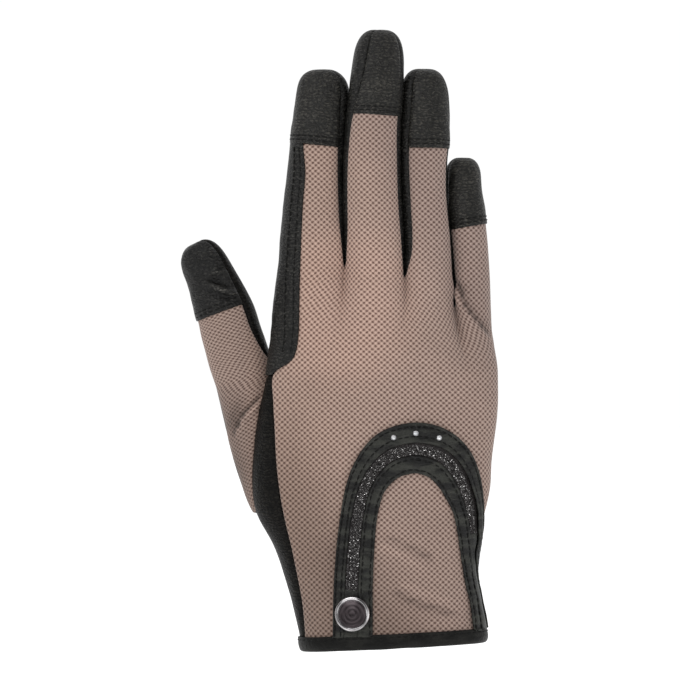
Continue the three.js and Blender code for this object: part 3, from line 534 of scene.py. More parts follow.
class Shader:
    """The nodes of a material or of the world."""

    def __init__(self, owner):
        self.owner = owner
        owner.use_nodes = True
        self.nodes = owner.node_tree.nodes
        self.links = owner.node_tree.links

    def node(self, kind, settings=None, inputs=None, output=0):
        """Adds a node, with its settings first and then its sockets' values or links."""
        made = self.nodes.new(kind)
        for key, value in (settings or {}).items():
            if key == "stops":
                self.grey_ramp(made.color_ramp, value)
            else:
                setattr(made, key, value)
        for key, value in (inputs or {}).items():
            self.feed(made.inputs[key], value)
        return Socket(self, made.outputs[output])

    def grey_ramp(self, ramp, stops):
        ramp.interpolation = "EASE"
        while len(ramp.elements) < len(stops):
            ramp.elements.new(0.5)
        for element, (place, light) in zip(ramp.elements, stops):
            element.position = place
            element.color = (light, light, light, 1)

    def feed(self, socket, value):
        value = getattr(value, "value", value)
        if isinstance(value, bpy.types.NodeSocket):
            self.links.new(value, socket)
        elif socket.type == "RGBA" and len(value) == 3:
            socket.default_value = (*value, 1)
        else:
            socket.default_value = value

    def place(self, kind="Object"):
        outputs = {"Generated": 0, "UV": 2, "Object": 3}
        return self.node("ShaderNodeTexCoord", output=outputs[kind])

    def parts(self, vector):
        """A vector's three numbers."""
        split = self.node("ShaderNodeSeparateXYZ", {}, {"Vector": vector})
        return [Socket(self, output) for output in split.value.node.outputs]

    def attribute(self, name):
        return self.node("ShaderNodeAttribute", {"attribute_name": name}, {}, output=2)

    def stretched(self, place, scale):
        return self.node("ShaderNodeMapping", {}, {"Vector": place, "Scale": scale})

    def noise(self, place, scale, detail=2):
        return self.node("ShaderNodeTexNoise", {}, {
            "Vector": place, "Scale": scale, "Detail": detail, "Roughness": 0.5})

    def blend(self, share, a, b):
        return self.node("ShaderNodeMix", {"data_type": "RGBA"},
                         {"Factor": share, 6: a, 7: b}, output=2)

    def tinted(self, share, colour, tint):
        """The colour, turned towards a tinted one by a share."""
        other = self.node("ShaderNodeMix", {"data_type": "RGBA", "blend_type": "MULTIPLY"},
                          {"Factor": 1.0, 6: colour, 7: tint}, output=2)
        return self.blend(share, colour, other)

    def painted_fold_shade(self, colour, depth, height):
        """Painted shade in the folds of a panel and painted highlights on their ridges."""
        fold = self.attribute("fold")
        colour = self.tinted((0 - fold).rise(0.1, 1.5), colour, (depth,) * 3)
        return self.tinted(fold.rise(0.1, 1.5), colour, (height,) * 3)

    def bump(self, height, distance, strength):
        return self.node("ShaderNodeBump", {}, {
            "Height": height, "Distance": distance, "Strength": strength})

    def finish(self, **sockets):
        surface = self.nodes["Principled BSDF"]
        for name, value in sockets.items():
            self.feed(surface.inputs[name.replace("_", " ")], value)
        return self.owner


def new_material(name):
    return Shader(bpy.data.materials.new(name))


def knit():
    """Open taupe knit: small dark holes in staggered rows between raised yarns."""
    s = new_material("taupe knit")
    cloth = s.place("UV")
    across, up, _ = s.parts(cloth)
    wander = s.noise(cloth, 0.35, 1) - 0.5
    across_turn = (across + wander * 0.5) * (2 * math.pi / HOLES_ACROSS)
    up_turn = (up + wander * 0.4) * (2 * math.pi / HOLES_UP)
    cells = across_turn.cosine() * up_turn.cosine()
    hole = cells.rise(0.18, 0.75)
    ridge = (0 - cells).rise(-0.1, 0.9)
    yarn = s.noise(s.stretched(cloth, (5.5, 2.2, 1)), 1.0, 3)
    body = s.blend(yarn.rise(0.3, 0.7), (0.25, 0.178, 0.15), (0.39, 0.28, 0.235))
    body = s.blend(ridge * 0.6, body, (0.54, 0.41, 0.355))
    colour = s.blend(hole * 0.88, body, (0.115, 0.066, 0.052))

    # Tints over the hand, in metres from the frame's origin: tones, and painted shade and light
    place = s.place()
    side, _, level = s.parts(place)
    warm = (s.noise(place, 22, 1) - 0.5) * 0.5 + (side * -9 + 0.35)
    colour = s.tinted(warm.rise(0, 1) * 0.35, colour, (1.0, 0.88, 0.76))
    # Painted shade, darker lower down and towards the little finger's side
    low = (side * 6 - level * 4).rise(-0.5, -0.1)
    colour = s.tinted(low, colour, (0.88, 0.88, 0.88))
    # Painted shade towards the wrist, reaching higher on the thumb's side
    painted_wrist_shade = (level * 9 + side.maths("MAXIMUM", -0.036) * 14).rise(-0.1, 0.4)
    colour = s.tinted(1 - painted_wrist_shade, colour, (0.67, 0.67, 0.66))
    tips = (level * 6 + side * 10).rise(0.85, 1.1)
    colour = s.tinted(tips, colour, (0.84, 0.85, 0.87))
    # Painted light: a brighter patch over the knuckles
    off_side, off_level = side + 0.018, level - 0.123
    painted_knuckle_light = (1 - (off_side * off_side + off_level * off_level) * 800).rise(0, 1)
    colour = s.tinted(painted_knuckle_light, colour, (1.2, 1.15, 1.13))
    # Painted shade over the thumb
    thumb = (side + level * 0.06).rise(-0.05, -0.04)
    colour = s.tinted(1 - thumb, colour, (0.82, 0.85, 0.88))
    # Painted shade in the knit's folds and painted highlights on their ridges
    colour = s.painted_fold_shade(colour, 0.35, 1.5)
    height = (1 - hole) + yarn * 0.25
    return s.finish(
        Base_Color=colour, Roughness=0.9, Specular_IOR_Level=0.15,
        Sheen_Weight=0.15, Sheen_Roughness=0.5,
        Normal=s.bump(height, 0.35 * MM, 0.8))


def scaled(colour, share):
    return tuple(c * share for c in colour)


def leather(name, base, light, gloss, grainy=1.0, hollow=0.25, ridge=4.5):
    """Thin synthetic leather: crazed with faint cross ribs, or smoother with worn streaks, with
    painted highlights and shade.
    """
    s = new_material(name)
    place = s.place()
    drift = s.noise(place, 420, 2) - 0.5
    level = s.parts(place)[2]
    wave = ((level + drift * (3.2 * MM)) * (2 * math.pi / (1.15 * MM))).cosine()
    ribs = wave * s.noise(place, 280, 2).rise(0.3, 0.6)
    grain = s.noise(s.stretched(place, (850, 850, 1200)), 1.0, 3)
    shifted = s.node("ShaderNodeVectorMath", {"operation": "ADD"},
                     {0: place, 1: drift * (1.5 * MM)})
    cells = s.node("ShaderNodeTexVoronoi", {"feature": "DISTANCE_TO_EDGE"}, {
        "Vector": s.stretched(shifted, (560, 560, 840)), "Scale": 1.0})
    craze = (cells + grain * 0.3).rise(0.12, 0.42)
    shape = ribs * (0.18 * grainy) + grain * 0.8 + craze * (0.24 * grainy)
    dips = 1 - (ribs * 0.3 + craze * 0.5 + grain * 0.5).rise(0.28, 0.8)
    if grainy > 0.5:
        # Blotches, partly wear and partly painted sheen
        wear_and_sheen = s.noise(place, 90, 3)
        colour = s.blend(wear_and_sheen.rise(0.35, 0.7), base, light)
    else:
        # Streaks, partly wear and partly painted sheen
        wear_and_sheen = s.noise(s.stretched(place, (110, 110, 330)), 1.0, 4)
        colour = s.blend(wear_and_sheen.rise(0.4, 0.63), base, light)
        # Painted glints along the crinkles, where the streaks are light
        painted_crinkle_glints = (1 - cells.rise(0, 0.09)) * wear_and_sheen.rise(0.42, 0.6)
        colour = s.blend(painted_crinkle_glints * 0.5, colour, scaled(light, 1.7))
    colour = s.blend(dips * (0.9 * grainy), colour, scaled(base, 0.2))
    # Painted highlights on the grain's tops
    colour = s.blend(shape.rise(0.58, 0.95) * 0.7, colour, scaled(light, 2.3))
    # Painted shade in the folds and painted highlights on their ridges, by the hollow and ridge
    # tints
    colour = s.painted_fold_shade(colour, hollow, ridge)
    return s.finish(
        Base_Color=colour, Roughness=wear_and_sheen * 0.25 + 0.36, Specular_IOR_Level=gloss,
        Normal=s.bump(shape, 0.45 * MM, 0.9))


def thread():
    s = new_material("black thread")
    twist = s.noise(s.place(), 2600)
    return s.finish(Base_Color=s.blend(twist, (0.003, 0.003, 0.003), (0.012, 0.012, 0.011)),
                    Roughness=0.65, Specular_IOR_Level=0.12)


def glitter_cloth():
    s = new_material("glitter ground")
    speck = s.noise(s.place(), 2400)
    colour = s.blend(speck.rise(0.4, 0.7), (0.006, 0.005, 0.005), (0.03, 0.026, 0.025))
    return s.finish(Base_Color=colour, Roughness=0.6, Specular_IOR_Level=0.2,
                    Normal=s.bump(speck, 0.3 * MM, 0.8))


def glitter_flakes():
    s = new_material("glitter flakes")
    # Painted glints: a bright colour on a few flakes, a dark one on the rest
    colour = s.blend(s.attribute("shine"), (0.03, 0.027, 0.027), (0.95, 0.93, 0.92))
    return s.finish(Base_Color=colour, Metallic=0.85, Roughness=0.25)


def steel(name, colour, rough, patch_darkness=0.82):
    """Metal with darker patches, partly clouding and partly painted dark reflections, and hair
    scratches.
    """
    s = new_material(name)
    place = s.place()
    scratch = s.noise(place, 260, 3)
    # Darker patches: partly clouding, partly painted dark reflections
    clouding_and_painted_reflection = s.noise(place, 120, 1).rise(0.42, 0.58)
    return s.finish(Base_Color=s.blend(clouding_and_painted_reflection, colour, scaled(colour, patch_darkness)),
                    Metallic=1.0, Roughness=scratch * 0.1 + rough,
                    Normal=s.bump(scratch, 0.002 * MM, 0.1))


def crystal():
    s = new_material("clear stone")
    tint = s.noise(s.place(), 500, 1)
    return s.finish(Base_Color=s.blend(tint, (0.62, 0.64, 0.68), (0.9, 0.9, 0.9)), Metallic=0.35,
                    Roughness=0.06, Coat_Weight=1.0, Coat_Roughness=0.03)


KNIT = knit()
CAP_LEATHER = leather("cap leather", (0.013, 0.0122, 0.01), (0.0285, 0.0268, 0.0225), 0.28)
STRIP_LEATHER = leather("strip leather", (0.009, 0.0086, 0.0074), (0.02, 0.0192, 0.017), 0.24)
THUMB_LEATHER = leather("thumb leather", (0.003, 0.0028, 0.0024), (0.0145, 0.0138, 0.0122), 0.26,
                        hollow=0.12, ridge=5)
PALM_LEATHER = leather("palm leather", (0.0045, 0.004, 0.0032), (0.0095, 0.0085, 0.007), 0.1)
TRIM_LEATHER = leather("trim leather", (0.0015, 0.0015, 0.0012), (0.027, 0.028, 0.023), 0.28, 0.3)
BINDING_LEATHER = leather("binding leather", (0.003, 0.003, 0.0025), (0.01, 0.0098, 0.0085), 0.16,
                          0.2)
THREAD = thread()
GLITTER_CLOTH = glitter_cloth()
GLITTER_FLAKES = glitter_flakes()
SNAP_METAL = steel("polished snap", (0.62, 0.6, 0.61), 0.16, 0.35)
SNAP_DISC = steel("brushed snap disc", (0.11, 0.092, 0.098), 0.3, 0.5)
CUP_METAL = steel("silver cup", (0.4, 0.4, 0.41), 0.15)
CRYSTAL = crystal()


# Sewn panels

def crowd(steps, pull=0.6):
    """Shares from 0 to 1 that lie closer together at both ends."""
    return [mix(k / steps, k / steps - math.sin(2 * math.pi * k / steps) / (2 * math.pi), pull)
            for k in range(steps + 1)]


SHARES = {BACK: crowd(14), PALM: crowd(10), RIGHT_SIDE: crowd(6, 0.4), LEFT_SIDE: crowd(6, 0.4)}
HAND_UPS = even(0, SIDE_STRIP_END, 40)[:-1] + even(SIDE_STRIP_END, 1, 24)
DOME = (0.15, 0.3, 0.45, 0.58, 0.7, 0.8, 0.88, 0.94, 0.975, 0.992, 1)


def cap_start(finger):
    return 1 - finger["cap"] / finger["length"]


def body_places(finger):
    return even(0, cap_start(finger), 28)


def cap_run(low, length, tip, steps):
    """Places from a cap's lower edge to the end of a finger, closer at both ends."""
    dome = 1 - tip / length
    near = [low + k / length for k in (0, 0.6, 1.3, 2.2)]
    return near + even(low + 3.2 / length, dome, steps) + [mix(dome, 1, t) for t in DOME]


def cap_places(finger):
    return cap_run(cap_start(finger), finger["length"], finger["round"], 6)


def whole_places(finger):
    return body_places(finger)[:-1] + cap_places(finger)


def finger_rows(number, stretch, places):
    return [[finger_point(number, a, stretch, s) for s in SHARES[stretch]] for a in places]


def hand_rows(number, stretch, ups):
    return [[palm_point(number, up, stretch, s) for s in SHARES[stretch]] for up in ups]


def flat_rows(rows, start, column):
    """Cloth measures of a net: lengths along each row from one column, and heights."""
    made = []
    for row in rows:
        run = lengths([p.xy for p in row])
        made.append([(start + length - run[column], p.z) for length, p in zip(run, row)])
    return made


def measured_from_middle(nets):
    """Cloth measures of nets that lie side by side: lengths round the hand from x = 0."""
    flats = [[] for _ in nets]
    for j in range(len(nets[0])):
        run, far, start = [0.0], [nets[0][j][0]], 0
        for net in nets:
            for p in net[j][1:]:
                step = (p - far[-1]).xy.length
                if far[-1].x < 0 <= p.x:
                    start = run[-1] + step * -far[-1].x / (p.x - far[-1].x)
                run.append(run[-1] + step)
                far.append(p)
        place = 0
        for net, flat in zip(nets, flats):
            count = len(net[j])
            flat.append([(run[place + i] - start, net[j][i].z) for i in range(count)])
            place += count - 1
    return flats


SURFACES = {}


def on_surface(names, p):
    """The nearest place on finished panels, in metres, and its outward direction."""
    found = [SURFACES[name].find_nearest(p * MM) for name in names]
    spot, out, _, _ = min(found, key=lambda hit: hit[3])
    return spot, out


class Panel:
    """One piece of cloth or leather, from nets of points that share their edges."""

    def __init__(self):
        self.bm = bmesh.new()
        self.flat = self.bm.verts.layers.float_vector.new("flat")
        self.free = self.bm.verts.layers.int.new("free")

    def net(self, rows, flat=None, free=()):
        """Lays one net. free names its edges that lie on top of other cloth, unsewn."""
        across, up = len(rows[0]) - 1, len(rows) - 1
        made = bmesh.ops.create_grid(self.bm, x_segments=across, y_segments=up, size=1)
        for v in made["verts"]:
            i, j = round((v.co.x + 1) / 2 * across), round((v.co.y + 1) / 2 * up)
            v.co = rows[j][i] * MM
            edges = {"bottom": j == 0, "top": j == up, "left": i == 0, "right": i == across}
            v[self.free] = int(any(edges[edge] for edge in free))
            if flat:
                v[self.flat] = (*flat[j][i], 0)

    def sewn(self):
        return [edge for edge in self.bm.edges
                if edge.is_boundary and not all(v[self.free] for v in edge.verts)]

    def seam_tree(self):
        points = []
        for edge in self.sewn():
            a, b = edge.verts
            points += [a.co.lerp(b.co, k / 4) for k in range(5)]
        tree = kdtree.KDTree(max(1, len(points)))
        for k, point in enumerate(points):
            tree.insert(point, k)
        tree.balance()
        return tree if points else None

    def mark_flap(self):
        """Notes where the flap of each sewn edge goes: inwards and a little past the seam."""
        self.flap = self.bm.verts.layers.float_vector.new("flap")
        for edge in self.sewn():
            face = edge.link_faces[0]
            a, b = (v.co for v in edge.verts)
            side = (b - a).cross(face.normal).normalized()
            if side.dot(face.calc_center_median() - a) > 0:
                side = -side
            for v in edge.verts:
                v[self.flap] += side
        for v in self.bm.verts:
            if v[self.flap].length:
                across = v[self.flap].normalized() * FLAP_CROSSING
                v[self.flap] = (across - v.normal * FLAP_DEPTH) * MM

    def turn_in(self):
        """Turns the sewn edges in, so that two panels' flaps cross under their seam."""
        made = bmesh.ops.extrude_edge_only(self.bm, edges=self.sewn())
        for v in made["geom"]:
            if isinstance(v, bmesh.types.BMVert):
                v.co += v[self.flap]

    def finish(self, name, nodes, slot, material, wall, lift=None, roll=(0.9, 1.6), fold=None,
               calm=None):
        """Sinks the sewn edges, adds folds, and gives the cloth its thickness.

        roll is how deep a sewn edge sinks and over which width. calm lessens that.
        """
        bm = self.bm
        bmesh.ops.remove_doubles(bm, verts=bm.verts, dist=0.01 * MM)
        bm.normal_update()
        self.mark_flap()
        tree = self.seam_tree()
        depth, width = roll
        # The folds' heights are kept in the fold attribute, from which the materials paint shade in
        # the folds and highlights on their ridges
        layer = bm.verts.layers.float.new("fold")
        moves = []
        for v in bm.verts:
            gap = tree.find(v.co)[2] / MM if tree else width
            bend = 1 - clamp(gap / width)
            p = v.co / MM
            sink = depth * (1 - math.sqrt(1 - bend * bend)) * (calm(p) if calm else 1)
            v[layer] = fold(p, gap) if fold else 0
            rise = (lift(p) if lift else 0) + v[layer]
            moves.append(v.normal * (rise - sink) * MM)
        for v, move in zip(bm.verts, moves):
            v.co += move
        SURFACES[name] = BVHTree.FromBMesh(bm)
        self.turn_in()
        uv = bm.loops.layers.uv.new("cloth")
        for face in bm.faces:
            face.smooth = True
            for loop in face.loops:
                loop[uv].uv = loop.vert[self.flat].xy
        piece = new_piece(name, bm, nodes, slot, material)
        thick = piece.modifiers.new("wall", "SOLIDIFY")
        thick.thickness = wall * MM
        thick.offset = -1
        soften(piece)


def put(name, data):
    """A new object in the scene."""
    thing = bpy.data.objects.new(name, data)
    bpy.context.scene.collection.objects.link(thing)
    return thing


def put_mesh(name, bm, materials):
    mesh = bpy.data.meshes.new(name)
    bm.to_mesh(mesh)
    bm.free()
    for material in materials:
        mesh.materials.append(material)
    return put(name, mesh)


def new_piece(name, bm, nodes, slot, *materials):
    piece = put_mesh(name, bm, materials)
    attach(piece, "root")
    if nodes:
        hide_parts(*nodes)
    return piece


def soften(piece):
    smooth = piece.modifiers.new("smooth", "SUBSURF")
    smooth.levels = 1
    smooth.render_levels = 1


def ripple(p, size, amount):
    return noise.noise(p / size) * amount


# The knitted back

# Folds: a line of points (x, z) and its strokes, each (distance to the left, height, width)
LITTLE_FOLD = (
    (((22.6, 134), (23.2, 130.3), (25.2, 123.8), (27.7, 120.8), (31.3, 117.2), (34.6, 113.6),
      (36.5, 111)), ((-1.3, 0.9, 0.7), (-0.1, -1.5, 0.8), (2, -0.4, 1.6))),
)
WRIST_FOLDS = (
    (((-6, 42), (-1, 40), (4.7, 37.4), (12.2, 33.1), (17, 30)), ((-3.4, 0.6, 2), (0, -0.9, 1.7))),
    (((-3, 23), (7.2, 17.8), (16.4, 14.8), (25, 12.4)), ((3.4, 0.7, 2), (0, -0.8, 1.7))),
)
THUMB_FOLD = (
    (((-41, 95.5), (-46.5, 91.1), (-50.6, 87.5), (-54.2, 83.9), (-56.8, 79), (-58, 75)),
     ((1.2, 1.3, 0.8), (-0.2, -1.7, 0.65), (-3, -0.35, 2.2))),
)
THUMB_CAP_FOLDS = (
    (((-69, 138.2), (-66, 137.2), (-63.7, 136.4), (-60.8, 136.8), (-58, 137.2)), ((0, -1.2, 0.8),)),
    (((-68.5, 135.2), (-64, 135.6), (-60, 135.6), (-57.5, 133)), ((0, 1.3, 1.2),)),
    (((-68, 133.2), (-66.2, 132.5), (-63, 132.1), (-60.1, 130.7), (-58, 129.8)), ((0, -1.1, 0.7),)),
    (((-69, 132.6), (-66.6, 131.2), (-63.7, 129.6), (-58.7, 127.8), (-53.5, 125.2)),
     ((0, 1.5, 1.2),)),
    (((-69, 131.6), (-65.9, 128.9), (-63, 127.1), (-58, 126.2), (-55, 125)), ((0, -1.4, 0.8),)),
    (((-71, 141.5), (-69, 139.5), (-66, 140.5), (-63, 142)), ((0, -0.8, 0.7), (1.5, 1.1, 1.1))),
)


def beside_line(here, points):
    """Signed distance from a line of points (left of it is positive), and the way along it."""
    best = None
    for k, (a, b) in enumerate(zip(points, points[1:])):
        a, b = Vector(a), Vector(b)
        line = b - a
        t = clamp((here - a).dot(line) / line.length_squared)
        off = here - a.lerp(b, t)
        side = 1 if line.x * off.y - line.y * off.x > 0 else -1
        if best is None or off.length < abs(best[0]):
            best = (side * off.length, (k + t) / (len(points) - 1))
    return best


def folded(p, folds):
    """The height that the folds give a point, seen from the back of the hand."""
    rise = 0
    for points, strokes in folds:
        off, way = beside_line(Vector((p.x, p.z)), points)
        fade = ease(way * 5) * ease((1 - way) * 4)
        rise += fade * sum(h * math.exp(-((off - at) / wide) ** 2) for at, h, wide in strokes)
    return rise


def knit_fold(p, gap):
    """Soft unevenness of cloth that is filled by a hand."""
    soft = clamp(gap / 6)
    rise = soft * (ripple(p, 21, 0.55) + ripple(p + Vector((40, 0, 0)), 9, 0.16))
    if p.z > 100 and p.x > 15 and p.y < 8:
        rise += folded(p, LITTLE_FOLD)
    if p.z < 55 and p.y < 0:
        rise += folded(p, WRIST_FOLDS)
    return rise


def knitted_back():
    panel = Panel()
    end = len(SHARES[BACK]) - 1
    nets = [hand_rows(n, BACK, HAND_UPS) for n in range(4)]
    nets.append(hand_rows(LITTLE, RIGHT_SIDE, HAND_UPS))
    flats = measured_from_middle(nets)
    for rows, flat in zip(nets, flats):
        panel.net(rows, flat)

    def beside(net, other, column, own):
        measured = flat_rows(net, 0, own)
        return [[(u + other[j][column][0], v) for u, v in row] for j, row in enumerate(measured)]

    for n, finger in enumerate(FINGERS):
        places = body_places(finger)
        places.append(places[-1] + KNIT_LAP / finger["length"])
        net = finger_rows(n, BACK, places)
        middle = end // 2
        start = flats[n][-1][middle][0]
        lean = [(row[middle].x - net[0][middle].x) for row in net]
        flat = [[(u + lean[j], v) for u, v in row]
                for j, row in enumerate(flat_rows(net, start, middle))]
        panel.net(net, flat, free=("top",))
        if n == LITTLE:
            outer = finger_rows(n, RIGHT_SIDE, places)
            panel.net(outer, beside(outer, flat, end, 0), free=("top",))
    panel.finish("knitted_back", ["back_panel"], "knit", KNIT, KNIT_WALL, fold=knit_fold)


def palm():
    panel = Panel()
    for n, finger in enumerate(FINGERS):
        panel.net(hand_rows(n, PALM, HAND_UPS))
        panel.net(finger_rows(n, PALM, whole_places(finger)))
    strip_row = HAND_UPS.index(SIDE_STRIP_END)
    panel.net(hand_rows(INDEX, LEFT_SIDE, HAND_UPS[:strip_row + 1]))
    panel.finish("leather_palm", ["palm_panel"], "leather", PALM_LEATHER, PALM_WALL,
                 fold=knit_fold)


def calm_tips(p):
    """Seams lie flatter near the ends of the fingers."""
    def beside(finger):
        return abs(finger["x"] + section(finger["name"], 1)["lean"] * finger["width"] - p.x)
    nearest = min(FINGERS, key=beside)
    end = nearest["z"] + nearest["length"]
    return 1 - 0.85 * ease((p.z - end + 9) / 8)


def side_fold(p, gap):
    return clamp(gap / 3) * (ripple(p, 7, 0.18) + 0.45 * calm_tips(p))


def finger_sides():
    for left in range(3):
        panel = Panel()
        for n, stretch in ((left, RIGHT_SIDE), (left + 1, LEFT_SIDE)):
            panel.net(finger_rows(n, stretch, whole_places(FINGERS[n])))
        names = FINGERS[left]["name"] + "_" + FINGERS[left + 1]["name"]
        panel.finish(names + "_side_strips", [names + "_side"], "leather", STRIP_LEATHER,
                     LEATHER_WALL, roll=(0.75, 1.4), fold=side_fold, calm=calm_tips)


def cap_fold(p, gap):
    """Shallow cross wrinkles of the tight leather."""
    near = clamp(gap / 3)
    wrinkle = noise.noise(Vector((p.x / 9, p.y / 9, p.z / 3.2)))
    return near * (wrinkle * 0.22 + ripple(p, 12, 0.3))


def fingertip_caps():
    for n, finger in enumerate(FINGERS):
        low = finger["z"] + finger["length"] - finger["cap"]
        panel = Panel()

        def cap_lift(p, low=low):
            return mix(CAP_LIFT, 0.0, ease((p.z - low - 2) / 12))

        stretches = {INDEX: (BACK, LEFT_SIDE), LITTLE: (BACK, RIGHT_SIDE)}.get(n, (BACK,))
        for stretch in stretches:
            panel.net(finger_rows(n, stretch, cap_places(finger)), free=("bottom",))
        name = finger["name"]
        panel.finish(name + "_leather_cap", [name + "_cap"], "leather", CAP_LEATHER,
                     LEATHER_WALL, lift=cap_lift, roll=(0.75, 1.3), fold=cap_fold,
                     calm=calm_tips)


def side_strip():
    """The strip along the index finger, laid over the knit at its inner edge."""
    finger = FINGERS[INDEX]
    shares = SHARES[LEFT_SIDE]
    row_ups = [SIDE_STRIP_END - 0.008] + HAND_UPS[HAND_UPS.index(SIDE_STRIP_END):]
    panel = Panel()
    hand = [[palm_point(INDEX, up, LEFT_SIDE, s) for s in shares]
            + [palm_point(INDEX, up, BACK, STRIP_OVERLAP)] for up in row_ups]
    body = [[finger_point(INDEX, a, LEFT_SIDE, s) for s in shares]
            + [finger_point(INDEX, a, BACK, STRIP_OVERLAP)]
            for a in body_places(finger) + [cap_start(finger) + STRIP_LAP / finger["length"]]]
    panel.net(hand + body[1:], free=("right", "bottom", "top"))
    panel.finish("index_leather_strip", ["index_side_strip"], "leather", STRIP_LEATHER,
                 LEATHER_WALL, lift=lambda p: STRIP_LIFT, fold=cap_fold)


# The thumb

def thumb_rows(places, stretch, steps):
    rows = []
    for along in places:
        s = section("thumb", along)
        stops = (s["from"], s["to"], s["from"] + 360)
        rows.append([thumb_point(along, mix(stops[stretch], stops[stretch + 1], t))
                     for t in crowd(steps)])
    return rows


def below_thumb_cap(p):
    """How far a point of the thumb lies below the cap's edge."""
    low = thumb_middle(1 - THUMB_CAP / THUMB_LENGTH)
    return (low - p).dot((thumb_middle(1) - low).normalized())


def thumb_fold(p, gap):
    """The fold where the thumb bends towards the hand, and the hollow above it."""
    crease = folded(p, THUMB_FOLD) * clamp(gap / 2)
    hollow = mix(-0.7, 0.2, ease((p.z - 90) / 14)) - 0.4 * math.exp(-((p.z - 56) / 8) ** 2)
    rise = clamp(gap / 2.5) * ripple(p, 14, 0.35) + crease + hollow * ease((-50 - p.x) / 8)
    return rise * ease(below_thumb_cap(p) / 6)


def thumb_cap_fold(p, gap):
    """Loose wrinkles across the thumb's tip, slanting down to the right."""
    near = clamp(gap / 2) * ease((-below_thumb_cap(p) - 1) / 4)
    rise = ripple(p, 9, 0.5) + ripple(p, 3.2, 0.25)
    if p.y < 12:
        rise += folded(p, THUMB_CAP_FOLDS)
    return near * rise


def thumb():
    cap_low = 1 - THUMB_CAP / THUMB_LENGTH
    first = 0.1  # the thumb's lowest part lies inside the hand
    body = even(first, cap_low, 64)
    cap = cap_run(cap_low, THUMB_LENGTH, THUMB_ROUND, 20)

    back = Panel()
    rows = thumb_rows(body + [cap_low + KNIT_LAP / THUMB_LENGTH], 0, 16)
    flat = flat_rows(rows, 0, 8)
    base = thumb_middle(0)
    flat = [[(u, (thumb_middle(mix(first, 1, j / len(rows))) - base).length) for u, _ in row]
            for j, row in enumerate(flat)]
    back.net(rows, flat, free=("top", "bottom"))
    back.finish("thumb_knit", ["thumb_back"], "knit", KNIT, KNIT_WALL, fold=thumb_fold)

    under = Panel()
    under.net(thumb_rows(body + cap[1:], 1, 14), free=("bottom",))
    under.finish("thumb_leather", ["thumb_palm"], "leather", PALM_LEATHER, PALM_WALL)

    top = Panel()
    top.net(thumb_rows(cap, 0, 26), free=("bottom",))
    low = thumb_middle(cap_low)

    def cap_lift(p):
        return mix(CAP_LIFT, 0.0, ease(((p - low).length - 9) / 10))

    top.finish("thumb_leather_cap", ["thumb_cap"], "leather", THUMB_LEATHER, LEATHER_WALL,
               lift=cap_lift, roll=(0.8, 1.4), fold=thumb_cap_fold,
               calm=lambda p: 1 - 0.75 * ease((p.z - 130) / 9))


# The binding round the hem

def hem_places():
    order = [(n, BACK) for n in range(4)] + [(LITTLE, RIGHT_SIDE)]
    order += [(LITTLE - n, PALM) for n in range(4)] + [(INDEX, LEFT_SIDE)]
    return [(n, stretch, k / 8) for n, stretch in order for k in range(8)]


def hem_point(place, up, out):
    n, stretch, share = place
    start = hand_point(0, hand_angle(n, stretch, share, 0))
    z = max(-2, up + hem_at(start.x))
    p = hand_point(max(0, z), hand_angle(n, stretch, share, max(0, z)), out)
    p.z = z
    return p


def binding():
    """A strip folded over the raw edge: a rounded roll outside, flat inside."""
    profile = [(0.2, 6.0), (0.75, 5.9), (1.0, 5.3), (0.85, 4.7), (1.1, 4.0), (1.15, 2.6),
               (0.95, 1.4), (0.5, 0.7), (-0.2, 0.45), (-1.2, 0.6), (-1.95, 1.2), (-2.3, 2.4),
               (-2.35, 4.6), (-2.0, 5.2), (-1.3, 5.0), (-1.2, 2.6), (0.1, 2.6)]
    places = hem_places()
    rows = []
    for out, up in profile + profile[:1]:
        row = [hem_point(place, up, out) for place in places]
        rows.append(row + row[:1])
    panel = Panel()
    panel.net(rows[::-1])
    bm = panel.bm
    bmesh.ops.remove_doubles(bm, verts=bm.verts, dist=0.01 * MM)
    bmesh.ops.recalc_face_normals(bm, faces=bm.faces)
    bm.normal_update()
    for v, n in [(v, v.normal.copy()) for v in bm.verts]:
        v.co += n * ripple(v.co / MM, 8, 0.16) * MM
    for face in bm.faces:
        face.smooth = True
    SURFACES["hem_roll"] = BVHTree.FromBMesh(bm)
    soften(new_piece("hem_roll", bm, ["hem_binding"], "leather", BINDING_LEATHER))


# The horseshoe

TABLES["trim"] = table(
    "along outer inner",
    (0, 0.3, 0.62),
    (0.28, 0.31, 0.62),
    (0.37, 0.36, 0.63),
    (0.5, 0.41, 0.64),
    (0.6, 0.34, 0.62),
    (0.66, 0.32, 0.6),
    (0.71, 0.3, 0.6),
    (0.755, 0.335, 0.6),
    (0.785, 0.32, 0.6),
    (0.815, 0.46, 0.62),
    (0.855, 0.36, 0.62),
    (0.9, 0.2, 0.62),
    (0.92, 0.14, 0.62),
    (0.965, 0.1, 0.62),
    (1, 0.08, 0.62),
)
# Heights across the two bands: rolled edges, sunk stitch rows and soft ridges
OUTER_BAND = ((0, -0.7), (0.025, -0.2), (0.07, 0.08), (0.13, 0.12), (0.175, -0.06), (0.215, -0.26),
              (0.255, -0.06), (0.33, 0.12), (0.5, 0.2), (0.63, 0.08), (0.69, -0.22), (0.75, 0.04),
              (0.82, 0.24), (0.9, 0.3), (0.96, 0.14), (1, -0.4))
INNER_BAND = ((0, -0.4), (0.04, 0.1), (0.1, 0.26), (0.18, 0.1), (0.24, -0.2), (0.3, 0.04),
              (0.42, 0.18), (0.6, 0.14), (0.72, 0.05), (0.78, -0.24), (0.84, 0.04), (0.92, 0.1),
              (0.97, -0.15), (1, -0.6))
FLAT_BAND = ((0, -0.1), (0.1, 0), (0.3, 0.03), (0.5, 0), (0.7, 0.03), (0.9, 0), (1, -0.1))
GLITTER_RUN = (0.075, 0.785)
